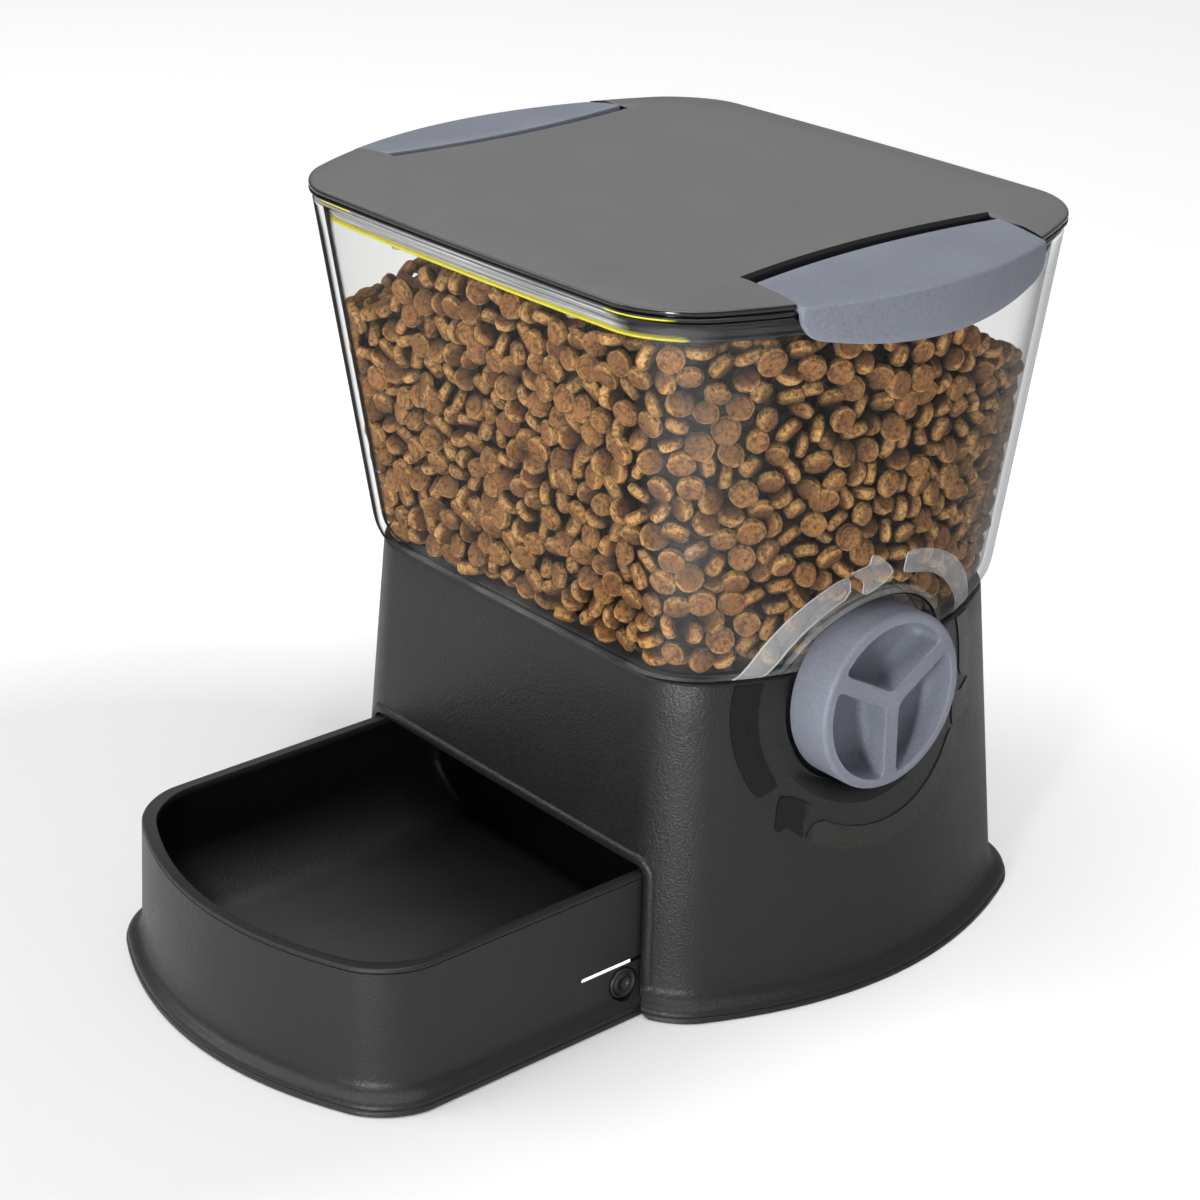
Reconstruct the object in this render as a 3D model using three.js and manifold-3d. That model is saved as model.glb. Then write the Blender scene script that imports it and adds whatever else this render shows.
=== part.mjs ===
// Manual pet feeder: a clear hopper on a black tower, a hand-turned portion wheel, a lid with two side
// latches and a bowl that slides out of the tower's front. Millimetres, +Z up, bowl towards -Y, knob on +X.
import * as THREE from "three";
import { mergeVertices } from "three/addons/utils/BufferGeometryUtils.js";
import Module from "manifold-3d";

const wasm = await Module();
wasm.setup();

// Driving dimensions
const TOWER_HEIGHT = 132.8;
const HOPPER_HEIGHT = 142.8; // from the tower's top to the hopper's rim
const TOWER_FOOT = { halfWidth: 101.4, halfDepth: 94.8, frontBow: 0.5, sideBow: 31, corner: 16.3 };
const TOWER_TOP = { halfWidth: 90.6, halfDepth: 84.3, frontBow: 0.5, sideBow: 30.4, corner: 15.2 };
const HOPPER_TOP = { halfWidth: 104.8, halfDepth: 104.7, frontBow: 1.6, sideBow: 33.6, corner: 19.4 };
const BOWL_RIM_Z = 55.4;
const BOWL_RIM = { halfWidth: 86.4, front: -203.6, sag: 25, corner: 16.3 };
const BOWL_FOOT = { halfWidth: 91, front: -210.1, sag: 27.6, corner: 16.3 };
const BOWL_BACK = -58;
const KNOB_RADIUS = 34.7;
const KNOB_LENGTH = 19;

// Fits and working values
const SEAT = 0.3; // gap between pieces that rest in or on each other
const SLIP = 0.8; // gap between pieces that slide or turn past each other
const OVERRUN = 3; // how far a cut runs past the face it opens

// Tower
const TOWER_WALL = 2.8;
const FLOOR_GAP = 1.2; // shells stand this far above the surface on their rubber feet
const FOOT_FLARE = 4.8;
const FOOT_LIP = 2;
const FOOT_SHOULDER = 13;
const TOWER_EDGE = 1.2;
const SLOT_BEAD = 4;
const SLOT_BEAD_RISE = 1.1;
const SLOT_CORNER = 5;
const COLUMN_RADIUS = 8;
const COLUMN_BITE = 9; // how far a column's axis stands in from the tower's outer face
const COLUMN_FRONT_Y = -40;
const COLUMN_BACK_Y = 62;

// Hopper
const HOPPER_WALL = 2.5;
const HOPPER_OVERHANG = { width: 0.6, depth: 3.2 }; // past the tower's top edge, above the rounded bottom
const HOPPER_ROUND = 11;
const HOPPER_TUCK = 3.4;
const HOPPER_LEDGE = 12;
const SPIGOT_DEPTH = 7;
const SPIGOT_WALL = 2.2;
const RIM_EDGE = 0.5;
const CATCH_RIDGE = { rise: 0.6, height: 2, below: 10, halfLength: 24 };

// Knob, wheel and housing
const KNOB_Y = -9.5;
const KNOB_DROP = 13.4; // the axis lies this far below the tower's top
const KNOB_PROUD = 11.9; // the face stands this far out of the tower's top edge
const KNOB_EDGE = 2.2;
const KNOB_RIM = 4.2;
const KNOB_SPOKE = 3.4; // half width
const KNOB_POCKET = 13;
const KNOB_REAR_GAP = 1;
const KNOB_FINGERS = 3;
const TOWER_POCKET_GAP = 2.3; // round the knob's barrel
const HOPPER_POCKET_GAP = 4.3;
const WHEEL_RADIUS = 30.5;
const WHEEL_HALF_LENGTH = 61.2;
const WHEEL_HUB = 9;
const WHEEL_PADDLE = 2.4;
const WHEEL_PADDLES = 6;
const HOUSING_WALL = 2.4;
const HOUSING_OUTLET = 17; // half width of the slot that lets a portion fall
const HOUSING_FLANGE = 2.8;
const HOUSING_SCREW_IN = 14.5; // in from the tower's top edge
const HOUSING_SCREW_Y = 56;
const HOUSING_BOSS_RISE = 4.5; // above the hopper's ledge
const BOSS_RADIUS = 9;
const BOSS_LEFT = 8;
const HOOD_WALL = 2;
const SHAFT_RADIUS = 4.4; // across the corners of the hexagon
const SHAFT_BITE = 9; // how far the shaft runs into the knob
const BUSH_RADIUS = 6.5;
const BUSH_LENGTH = 11;
const BUSH_FLANGE = { radius: 8, thick: 1.2 };
const CLIP = { radius: 7.5, thick: 1.6, beyond: 3 };

// Chute
const DECK_THICK = 2.4;
const CHUTE_WALL = 2.4;
const CHUTE_HALF_WIDTH = 60;
const CHUTE_BACK = 33; // behind the wheel's axis
const CHUTE_FRONT = 36; // ahead of the wheel's axis
const CHUTE_TOP_GAP = 1.6;
const CHUTE_LIP_GAP = 3; // over the bowl's back wall
const CHUTE_MOUTH = 15;
const CHUTE_OVERLAP = 5; // how far the ramp reaches past the bowl's back wall
const POCKET_DECK_GAP = 3.2;

// Bowl and its catches
const BOWL_WALL = 2.6;
const BOWL_RIM_WIDTH = 4.5;
const BOWL_RIM_DROP = 4;
const BOWL_FLOOR = 9;
const BOWL_FLOOR_THICK = 2.5;
const BOWL_BACK_TOP = 41;
const BOWL_BACK_RIM = 13; // the back wall is cut down between these side margins
const BOWL_BACK_CORNER = 4;
const BOWL_SLOPE = { top: 28, inset: 31 }; // the sides slope in from this height by this much at the floor
const CATCH = { front: -121, back: -88.5, low: 4.8, high: 20.4, slit: 1.3, thick: 2.2, gap: 0.4 };
const BUTTON = { y: -101, z: 12.8, radius: 6.2, inner: 4, groove: 0.7, rise: 0.5 };

// Feet and screws
const BASE_FOOT = { radius: 7, peg: 3, pegLength: 4 };
const BOWL_PAD = { radius: 6, peg: 2.2, pegLength: 3 };
const BOWL_PAD_X = 42;
const BOWL_PAD_Y = [-185, -82];
const SCREW = { head: 3.1, headHeight: 2, shank: 1.5, length: 9 };

// Lid, seal and latches
const LID_OVERHANG = 0.9;
const LID_RISE = 4.4; // from the hopper's rim to the plate's lower edge
const LID_THICK = 4;
const LID_CROWN = 1;
const LID_CROWN_INSET = 17;
const LID_BORDER_DROP = 1.8; // the plate's border slopes down by this at its edge
const LID_SHOULDER = { drop: 0.5, inset: 6 }; // and by this a little way in
const LID_EDGE = 1.1;
const LID_STEP = 1.6;
const LID_SKIRT = 6.5;
const LID_SHELL = 2.2;
const SEAL_LIP = 1.2;
const SEAL_WEB = 1.1;
const SEAL_LOW = 4.1; // the lower lip's middle lies this far below the rim
const FRAME_WALL = 3.4;
const FRAME_DEPTH = 7.6;
const FRAME_EAR = 4.2;
const FRAME_EAR_X = 52;
const LATCH_HALF_LENGTH = 60;
const LATCH_END_GAP = 0.5;
const LATCH_INNER = 32; // the pad's inner edge, in from the lid's widest point
const LATCH_BULGE = 5.5; // and how far it bows further in at its middle
const LATCH_CUT_GAP = 6; // between the pad's inner edge and the lid's cut
const LATCH_PROUD = 2.6;
const LATCH_WALL = 2.2;
const LATCH_CREASE = 2.6;
const LATCH_DROP = 19;
const LATCH_END_LIFT = 8;
const LATCH_CORNER = 7;
const LATCH_FLOOR = 1.2;
const LATCH_PAD_GAP = 0.6;
const LATCH_KNUCKLE = 3.1;
const LATCH_KNUCKLE_HALF_LENGTH = 45;
const LATCH_PIN = 1.5;
const LATCH_PIN_BITE = 1.8;
const LATCH_PIN_LOW = 5.5; // below the pad's top
const LATCH_PIN_IN = 31.7; // in from the lid's widest point
const WELL_DEPTH = 5.7; // below the pin
const WELL_PAST_PIN = 4.4;
const WELL_WALL = 1.6;
const LATCH_HOOK = { reach: 0.9, height: 1.5, below: 15, halfLength: 22 };

// How far each corner curve's handles reach towards the corner that it trims
const CORNER_PULL_SHARE = 0.56;

// Finish of the real pieces
const BLACK = { color: 0x1c1c1d, roughness: 0.55, metalness: 0 };
const CLEAR = { color: 0xe8edf0, roughness: 0.05, metalness: 0, transparent: true, opacity: 0.3 };
const GREY_BLUE = { color: 0x868b9a, roughness: 0.6, metalness: 0 };
const DARK_GREY = { color: 0x3c3d3f, roughness: 0.45, metalness: 0 };
const YELLOW = { color: 0xf0e22a, roughness: 0.5, metalness: 0 };
const RUBBER = { color: 0x151515, roughness: 0.9, metalness: 0 };
const STEEL = { color: 0xb9bcc0, roughness: 0.3, metalness: 1 };
const NATURAL = { color: 0xe6e2d6, roughness: 0.5, metalness: 0 };

// Facet counts
const FRONT_STEPS = 2;
const CORNER_STEPS = 4;
const SIDE_STEPS = 4;
const ROUND_STEPS = 36;
const SMALL_STEPS = 10;
const HEX_STEPS = 6;
const LATCH_STEPS = 12;
const ROUNDING_STEPS = 4;

// Places worked out from the sizes above
const RIM_Z = TOWER_HEIGHT + HOPPER_HEIGHT;
const KNOB_Z = TOWER_HEIGHT - KNOB_DROP;
const KNOB_FACE_X = sideX(TOWER_TOP, KNOB_Y) + KNOB_PROUD;
const KNOB_BACK_X = KNOB_FACE_X - KNOB_LENGTH;
const POCKET_X = KNOB_BACK_X - KNOB_REAR_GAP;
const HOPPER_BASE = {
  halfWidth: TOWER_TOP.halfWidth + HOPPER_OVERHANG.width,
  halfDepth: TOWER_TOP.halfDepth + HOPPER_OVERHANG.depth,
  frontBow: TOWER_TOP.frontBow,
  sideBow: TOWER_TOP.sideBow,
  corner: TOWER_TOP.corner,
};
const LID_OUTLINE = insetOutline(HOPPER_TOP, -LID_OVERHANG);
const LID_LOW_Z = RIM_Z + LID_RISE;
const LID_TOP_Z = LID_LOW_Z + LID_THICK;
const SKIRT_Z = RIM_Z + SEAT + SEAL_LIP + SEAT;
const LID_WIDEST = LID_OUTLINE.halfWidth + LID_OUTLINE.sideBow;
const LATCH_PIN_X = LID_WIDEST - LATCH_PIN_IN;
const LATCH_TOP_Z = LID_TOP_Z + LID_CROWN / 2;
const LATCH_PIN_Z = LATCH_TOP_Z - LATCH_PIN_LOW;
const TROUGH_RADIUS = WHEEL_RADIUS + SLIP;
const TROUGH_HALF_LENGTH = WHEEL_HALF_LENGTH + SLIP;
const TROUGH_BOTTOM = KNOB_Z - TROUGH_RADIUS - HOUSING_WALL;
const BOSS_END_X = POCKET_X - BUSH_FLANGE.thick - SEAT;
const BOSS_START_X = -TROUGH_HALF_LENGTH - HOUSING_WALL - BOSS_LEFT;
const SHAFT_LEFT = BOSS_START_X - BUSH_FLANGE.thick - CLIP.thick - CLIP.beyond;
const SHAFT_RIGHT = KNOB_BACK_X + SHAFT_BITE;
const DECK_TOP = KNOB_Z - KNOB_RADIUS - TOWER_POCKET_GAP - TOWER_WALL - POCKET_DECK_GAP;
const BOWL_FRONT_Y = BOWL_FOOT.front - BOWL_FOOT.sag;
const LID_BACK_Y = LID_OUTLINE.halfDepth + LID_OUTLINE.frontBow;
const CENTRE_Y = (BOWL_FRONT_Y + LID_BACK_Y) / 2;
const SIDES = [["right", 1], ["left", -1]];

// Solids

// A closed geometry as a solid whose faces point outwards.
function solid(geometry) {
  const bare = geometry.clone();
  bare.deleteAttribute("normal");
  bare.deleteAttribute("uv");
  const merged = mergeVertices(bare);
  const vertProperties = new Float32Array(merged.getAttribute("position").array);
  const triVerts = new Uint32Array(merged.index.array);
  const made = new wasm.Manifold(new wasm.Mesh({ numProp: 3, vertProperties, triVerts }));
  if (made.volume() > 0) return made;
  return new wasm.Manifold(new wasm.Mesh({ numProp: 3, vertProperties, triVerts: triVerts.reverse() }));
}

// A mesh of one solid, named and coloured.
function piece(name, body, finish) {
  const made = body.getMesh();
  const count = made.numProp;
  const places = new Float32Array(made.numVert * 3);
  for (let i = 0; i < made.numVert; i += 1) {
    places.set(made.vertProperties.subarray(i * count, i * count + 3), i * 3);
  }
  const geometry = new THREE.BufferGeometry();
  geometry.setAttribute("position", new THREE.BufferAttribute(places, 3));
  geometry.setIndex(new THREE.BufferAttribute(made.triVerts, 1));
  geometry.computeVertexNormals();
  const mesh = new THREE.Mesh(geometry, new THREE.MeshStandardMaterial(finish));
  mesh.name = name;
  return mesh;
}

function join(solids) {
  return solids.reduce((whole, next) => whole.add(next));
}

// A skin through rings of points. A closed one runs from the last ring back to the first, like a tyre;
// an open one is capped at both ends.
function loft(rings, closed = false) {
  const size = rings[0].length;
  const places = rings.flat(2);
  const faces = [];
  const last = closed ? rings.length : rings.length - 1;
  for (let k = 0; k < last; k += 1) {
    const low = k * size;
    const high = ((k + 1) % rings.length) * size;
    for (let i = 0; i < size; i += 1) {
      const j = (i + 1) % size;
      faces.push(low + i, low + j, high + j, low + i, high + j, high + i);
    }
  }
  if (!closed) {
    [rings[0], rings[rings.length - 1]].forEach((ring, end) => {
      const middle = [0, 1, 2].map((axis) => ring.reduce((sum, p) => sum + p[axis], 0) / size);
      const centre = places.length / 3;
      const start = end ? (rings.length - 1) * size : 0;
      places.push(...middle);
      for (let i = 0; i < size; i += 1) {
        const j = (i + 1) % size;
        faces.push(...(end ? [centre, start + i, start + j] : [centre, start + j, start + i]));
      }
    });
  }
  const geometry = new THREE.BufferGeometry();
  geometry.setAttribute("position", new THREE.BufferAttribute(new Float32Array(places), 3));
  geometry.setIndex(faces);
  return solid(geometry);
}

// An outline of [across, up] points pushed along one axis between two values.
function extrude(points, axis, from, to) {
  const shape = new THREE.Shape(points.map(([u, v]) => new THREE.Vector2(u, v)));
  const geometry = new THREE.ExtrudeGeometry(shape, { depth: to - from, bevelEnabled: false, steps: 1 });
  geometry.translate(0, 0, from);
  if (axis === "x") {
    const turn = new THREE.Matrix4().makeBasis(
      new THREE.Vector3(0, 1, 0),
      new THREE.Vector3(0, 0, 1),
      new THREE.Vector3(1, 0, 0),
    );
    geometry.applyMatrix4(turn);
  }
  if (axis === "y") {
    geometry.rotateX(Math.PI / 2);
    geometry.translate(0, from + to, 0);
  }
  return solid(geometry);
}

// A straight rod along one axis, or a prism when it has few sides.
function rod(axis, radius, centre, from, to, sides = SMALL_STEPS) {
  const geometry = new THREE.CylinderGeometry(radius, radius, to - from, sides);
  geometry.translate(0, (from + to) / 2, 0);
  if (axis === "x") geometry.rotateZ(-Math.PI / 2).translate(0, centre[0], centre[1]);
  if (axis === "y") geometry.translate(centre[0], 0, centre[1]);
  if (axis === "z") geometry.rotateX(Math.PI / 2).translate(centre[0], centre[1], 0);
  return solid(geometry);
}

// A round piece turned about an axis: the profile holds [radius, place along the axis] points.
function turned(axis, profile, centre, sides = ROUND_STEPS) {
  const geometry = new THREE.LatheGeometry(profile.map(([r, t]) => new THREE.Vector2(r, t)), sides);
  if (axis === "x") geometry.rotateZ(-Math.PI / 2).translate(0, centre[0], centre[1]);
  if (axis === "z") geometry.rotateX(Math.PI / 2).translate(centre[0], centre[1], 0);
  return solid(geometry);
}

function block(low, high) {
  const size = low.map((value, i) => high[i] - value);
  const geometry = new THREE.BoxGeometry(...size);
  geometry.translate(...low.map((value, i) => value + size[i] / 2));
  return solid(geometry);
}

function mirrorX(body, side) {
  return side > 0 ? body : body.mirror([1, 0, 0]);
}

// Outlines seen from above

// The x of a bowed side at one y.
function sideX(shape, y) {
  return shape.halfWidth + shape.sideBow * (1 - (y / shape.halfDepth) ** 2);
}

function insetOutline(shape, inset) {
  return { ...shape, halfWidth: shape.halfWidth - inset, halfDepth: shape.halfDepth - inset };
}

// The outline part of the way from one shape to another.
function between(low, high, share) {
  const mixed = {};
  Object.keys(low).forEach((key) => {
    mixed[key] = low[key] + (high[key] - low[key]) * share;
  });
  return mixed;
}

function curve(p0, p1, p2, p3, steps) {
  const line = new THREE.CubicBezierCurve(...[p0, p1, p2, p3].map(([x, y]) => new THREE.Vector2(x, y)));
  return line.getPoints(steps).map((p) => [p.x, p.y]);
}

function towards(from, to, share) {
  return from.map((value, i) => value + (to[i] - value) * share);
}

// A ring of a shape with bowed sides and blended corners, the same for all four quarters.
function bowedRing(shape, z, shiftY = 0) {
  const { halfWidth, halfDepth, frontBow, corner } = shape;
  const frontEnd = halfWidth - corner;
  const sideEnd = halfDepth - corner;
  const frontY = (x) => -halfDepth - frontBow * (1 - (x / halfWidth) ** 2);
  const quarter = [];
  for (let i = 0; i < FRONT_STEPS; i += 1) {
    const x = (frontEnd * i) / FRONT_STEPS;
    quarter.push([x, frontY(x)]);
  }
  const start = [frontEnd, frontY(frontEnd)];
  const end = [sideX(shape, sideEnd), -sideEnd];
  const tip = [halfWidth, -halfDepth];
  const handles = [towards(start, tip, CORNER_PULL_SHARE), towards(end, tip, CORNER_PULL_SHARE)];
  quarter.push(...curve(start, ...handles, end, CORNER_STEPS));
  for (let i = 1; i <= SIDE_STEPS; i += 1) {
    const y = -sideEnd * (1 - i / SIDE_STEPS);
    quarter.push([sideX(shape, y), y]);
  }
  const half = [...quarter, ...quarter.slice(0, -1).reverse().map(([x, y]) => [x, -y])];
  const rest = half.slice(1, -1).reverse().map(([x, y]) => [-x, y]);
  return [...half, ...rest].map(([x, y]) => [x, y + shiftY, z]);
}

// A ring of the bowl: bowed front, straight sides and a straight back.
function bowlRing(shape, z, insetSide = 0, insetFront = insetSide, insetBack = insetSide) {
  const halfWidth = shape.halfWidth - insetSide;
  const frontY = (x) => shape.front + insetFront - shape.sag * (1 - (x / halfWidth) ** 2);
  const backY = BOWL_BACK - insetBack;
  const frontEnd = halfWidth - shape.corner;
  const half = [];
  for (let i = 0; i < SIDE_STEPS; i += 1) {
    const x = (frontEnd * i) / SIDE_STEPS;
    half.push([x, frontY(x)]);
  }
  const start = [frontEnd, frontY(frontEnd)];
  const tip = [halfWidth, shape.front + insetFront];
  const end = [halfWidth, tip[1] + shape.corner];
  const handles = [towards(start, tip, CORNER_PULL_SHARE), towards(end, tip, CORNER_PULL_SHARE)];
  half.push(...curve(start, ...handles, end, CORNER_STEPS));
  half.push([halfWidth, backY - BOWL_BACK_CORNER], [halfWidth - BOWL_BACK_CORNER, backY], [0, backY]);
  const rest = half.slice(1, -1).reverse().map(([x, y]) => [-x, y]);
  return [...half, ...rest].map(([x, y]) => [x, y, z]);
}

// The tower's outline at a height, inside the flare of its foot.
function towerAt(z) {
  return between(insetOutline(TOWER_FOOT, FOOT_FLARE), TOWER_TOP, z / TOWER_HEIGHT);
}

// The hopper's straight wall at a height.
function hopperAt(z) {
  return between(HOPPER_BASE, HOPPER_TOP, (z - TOWER_HEIGHT) / HOPPER_HEIGHT);
}

function hopperRing([inset, z]) {
  return bowedRing(insetOutline(hopperAt(z), inset), z);
}

// The bowl's wall at a height, inside the flare of its foot.
function bowlAt(z) {
  const wallFoot = {
    ...BOWL_FOOT,
    halfWidth: BOWL_FOOT.halfWidth - FOOT_FLARE,
    front: BOWL_FOOT.front + FOOT_FLARE,
  };
  return between(wallFoot, BOWL_RIM, z / BOWL_RIM_Z);
}

// Rises and insets of a flared foot: a thin lip, a rounded bead and a hollow shoulder, as shares of
// the flare and of the shoulder's height.
const FLARE_SHARES = [[0.8, 0.45], [0.66, 0.62], [0.3, 0.72], [0.1, 0.86], [0, 1]];

function flarePoints() {
  const height = FOOT_SHOULDER - FLOOR_GAP - FOOT_LIP;
  const lip = [[1, FLOOR_GAP], [1, FLOOR_GAP + FOOT_LIP]];
  const rise = FLARE_SHARES.map(([out, up]) => [out, FLOOR_GAP + FOOT_LIP + height * up]);
  return [...lip, ...rise];
}

// Pocket for the knob: a half round under straight sides that run up and out.
function pocketShape(radius, top) {
  const points = [[KNOB_Y + radius, top]];
  for (let i = 0; i <= ROUND_STEPS / 2; i += 1) {
    const angle = (Math.PI * 2 * i) / ROUND_STEPS;
    points.push([KNOB_Y + radius * Math.cos(angle), KNOB_Z - radius * Math.sin(angle)]);
  }
  points.push([KNOB_Y - radius, top]);
  return points;
}

// Tower

function towerSolid(grow = 0) {
  const rings = flarePoints().map(([out, z]) => {
    return bowedRing(insetOutline(towerAt(z), -FOOT_FLARE * out - grow), z);
  });
  rings.push(bowedRing(insetOutline(TOWER_TOP, -grow), TOWER_HEIGHT - TOWER_EDGE));
  rings.push(bowedRing(insetOutline(TOWER_TOP, TOWER_EDGE / 2 - grow), TOWER_HEIGHT));
  return loft(rings);
}

// The front slot: the bowl's own section and the slip round it.
function slotPoints(grow) {
  const top = BOWL_RIM_Z + SLIP + CHUTE_LIP_GAP + grow;
  const rimX = bowlAt(BOWL_RIM_Z).halfWidth + SLIP + grow;
  const flare = flarePoints().slice(1).map(([out, z]) => {
    return [bowlAt(z).halfWidth + FOOT_FLARE * out + SLIP + grow, z + (SLIP + grow) * out];
  });
  const low = [[flare[0][0], -OVERRUN]];
  const half = [...low, ...flare, [rimX, top - SLOT_CORNER], [rimX - SLOT_CORNER, top]];
  return [...half, ...half.slice().reverse().map(([x, z]) => [-x, z])];
}

const FRONT_REACH = -TOWER_FOOT.halfDepth - TOWER_FOOT.frontBow - OVERRUN;
const COLUMN_TOP = DECK_TOP - DECK_THICK - SEAT;
const COLUMNS = [COLUMN_FRONT_Y, COLUMN_BACK_Y].flatMap((y) => {
  const x = sideX(towerAt(COLUMN_TOP), y) - COLUMN_BITE;
  return [[x, y], [-x, y]];
});

function baseShell() {
  const outer = towerSolid();
  const inner = loft([-OVERRUN, FOOT_SHOULDER, TOWER_HEIGHT + OVERRUN].map((z) => {
    return bowedRing(insetOutline(towerAt(z), TOWER_WALL), z);
  }));
  const pocket = (grow, top, from) => {
    return extrude(pocketShape(KNOB_RADIUS + TOWER_POCKET_GAP + grow, top), "x", from, LID_WIDEST);
  };
  const openTop = TOWER_HEIGHT + OVERRUN;
  const notchShape = pocketShape(BOSS_RADIUS + SLIP, openTop);
  const notch = extrude(notchShape, "x", POCKET_X - TOWER_WALL - OVERRUN, LID_WIDEST);
  const columns = join(COLUMNS.map((place) => {
    return rod("z", COLUMN_RADIUS, place, FLOOR_GAP + SEAT, COLUMN_TOP, ROUND_STEPS / 2);
  }));
  const bores = join(COLUMNS.flatMap((place) => [
    rod("z", SCREW.shank + SEAT, place, COLUMN_TOP - SCREW.length, COLUMN_TOP + OVERRUN),
    rod("z", BASE_FOOT.peg + SEAT, place, -OVERRUN, FLOOR_GAP + SEAT + BASE_FOOT.pegLength),
  ]));
  const beadBand = extrude(slotPoints(SLOT_BEAD), "y", FRONT_REACH - OVERRUN, -TOWER_TOP.halfDepth);
  const bead = towerSolid(SLOT_BEAD_RISE).intersect(beadBand);
  const slot = extrude(slotPoints(0), "y", FRONT_REACH - OVERRUN, COLUMN_FRONT_Y - COLUMN_RADIUS);
  const walls = outer.add(bead).subtract(inner);
  const pocketWall = pocket(TOWER_WALL, TOWER_HEIGHT, POCKET_X - TOWER_WALL).intersect(outer);
  const whole = join([walls, pocketWall, columns.intersect(outer)]);
  return whole.subtract(pocket(0, openTop, POCKET_X)).subtract(notch).subtract(slot).subtract(bores);
}

// A rubber foot: a disc with a peg that plugs into the shell above it.
function footPad({ radius, peg, pegLength }, place) {
  const top = FLOOR_GAP + pegLength;
  return turned("z", [[0, 0], [radius, 0], [radius, FLOOR_GAP], [peg, FLOOR_GAP], [peg, top], [0, top]],
    place, SMALL_STEPS);
}

// A pan-head screw whose head seats at one height; its shank points up or down.
function screw(place, headZ, up) {
  const { head, headHeight, shank, length } = SCREW;
  const way = up ? 1 : -1;
  const profile = [
    [0, -headHeight], [head, -headHeight], [head, 0],
    [shank, 0], [shank, length], [0, length],
  ];
  return turned("z", profile.map(([r, t]) => [r, headZ + way * t]), place, SMALL_STEPS);
}

// Deck with the chute that leads a portion from the wheel to the bowl.
const CHUTE_TOP = TROUGH_BOTTOM - CHUTE_TOP_GAP;
const CHUTE_BACK_Y = KNOB_Y + CHUTE_BACK;
const CHUTE_FRONT_Y = KNOB_Y - CHUTE_FRONT;
const RAMP_END_Y = BOWL_BACK - CHUTE_OVERLAP;
const RAMP_END_Z = BOWL_BACK_TOP + CHUTE_LIP_GAP + CHUTE_WALL;

function foodChute() {
  const deckOutline = insetOutline(towerAt(DECK_TOP), TOWER_WALL + SLIP);
  const deck = loft([DECK_TOP - DECK_THICK, DECK_TOP].map((z) => bowedRing(deckOutline, z)));
  const rampTop = CHUTE_TOP - CHUTE_WALL;
  const passage = [
    [CHUTE_BACK_Y, CHUTE_TOP + OVERRUN],
    [CHUTE_BACK_Y, rampTop],
    [RAMP_END_Y, RAMP_END_Z],
    [RAMP_END_Y, RAMP_END_Z + CHUTE_MOUTH],
    [CHUTE_FRONT_Y, DECK_TOP],
    [CHUTE_FRONT_Y, CHUTE_TOP + OVERRUN],
  ];
  const body = [
    [CHUTE_BACK_Y + CHUTE_WALL, CHUTE_TOP],
    [CHUTE_BACK_Y + CHUTE_WALL, rampTop - CHUTE_WALL],
    [RAMP_END_Y, RAMP_END_Z - CHUTE_WALL],
    [RAMP_END_Y, RAMP_END_Z + CHUTE_MOUTH + CHUTE_WALL],
    [CHUTE_FRONT_Y - CHUTE_WALL, DECK_TOP],
    [CHUTE_FRONT_Y - CHUTE_WALL, CHUTE_TOP],
  ];
  const mouth = [
    [RAMP_END_Y + OVERRUN, RAMP_END_Z],
    [RAMP_END_Y + OVERRUN, RAMP_END_Z + CHUTE_MOUTH],
    [RAMP_END_Y - OVERRUN, RAMP_END_Z + CHUTE_MOUTH],
    [RAMP_END_Y - OVERRUN, RAMP_END_Z],
  ];
  const outside = CHUTE_HALF_WIDTH + CHUTE_WALL;
  const holes = join(COLUMNS.map((place) => {
    return rod("z", SCREW.shank + SEAT, place, DECK_TOP - DECK_THICK - OVERRUN, DECK_TOP + OVERRUN);
  }));
  return deck
    .add(extrude(body, "x", -outside, outside))
    .subtract(extrude(passage, "x", -CHUTE_HALF_WIDTH, CHUTE_HALF_WIDTH))
    .subtract(extrude(mouth, "x", -CHUTE_HALF_WIDTH, CHUTE_HALF_WIDTH))
    .subtract(holes);
}

// Hopper

const SPIGOT_INSET = TOWER_WALL + SEAT;
const FLANGE_TOP = TOWER_HEIGHT - SEAT;
const HOUSING_HEAD_Z = FLANGE_TOP - HOUSING_FLANGE - SEAT; // where the screws' heads seat
const HOUSING_SCREWS = [1, -1].flatMap((end) => {
  const x = sideX(TOWER_TOP, HOUSING_SCREW_Y) - HOUSING_SCREW_IN;
  return [[x, end * HOUSING_SCREW_Y], [-x, end * HOUSING_SCREW_Y]];
});

// The hopper's section as [inset from its straight wall, height], from the ledge up the outside.
function hopperOutside(top) {
  const low = TOWER_HEIGHT + SEAT;
  const rounding = [];
  for (let i = 0; i <= ROUNDING_STEPS; i += 1) {
    const angle = (Math.PI / 2) * (i / ROUNDING_STEPS);
    rounding.push([HOPPER_TUCK * (1 - Math.sin(angle)), low + HOPPER_ROUND * (1 - Math.cos(angle))]);
  }
  return [...rounding, [0, top - RIM_EDGE], [RIM_EDGE, top]];
}

// The room that the tower's knob pocket takes, with the seat round it, up to a height.
function towerPocketRoom(top) {
  const shape = pocketShape(KNOB_RADIUS + TOWER_POCKET_GAP + TOWER_WALL + SEAT, top);
  return extrude(shape, "x", POCKET_X - TOWER_WALL - SEAT, LID_WIDEST);
}

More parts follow.
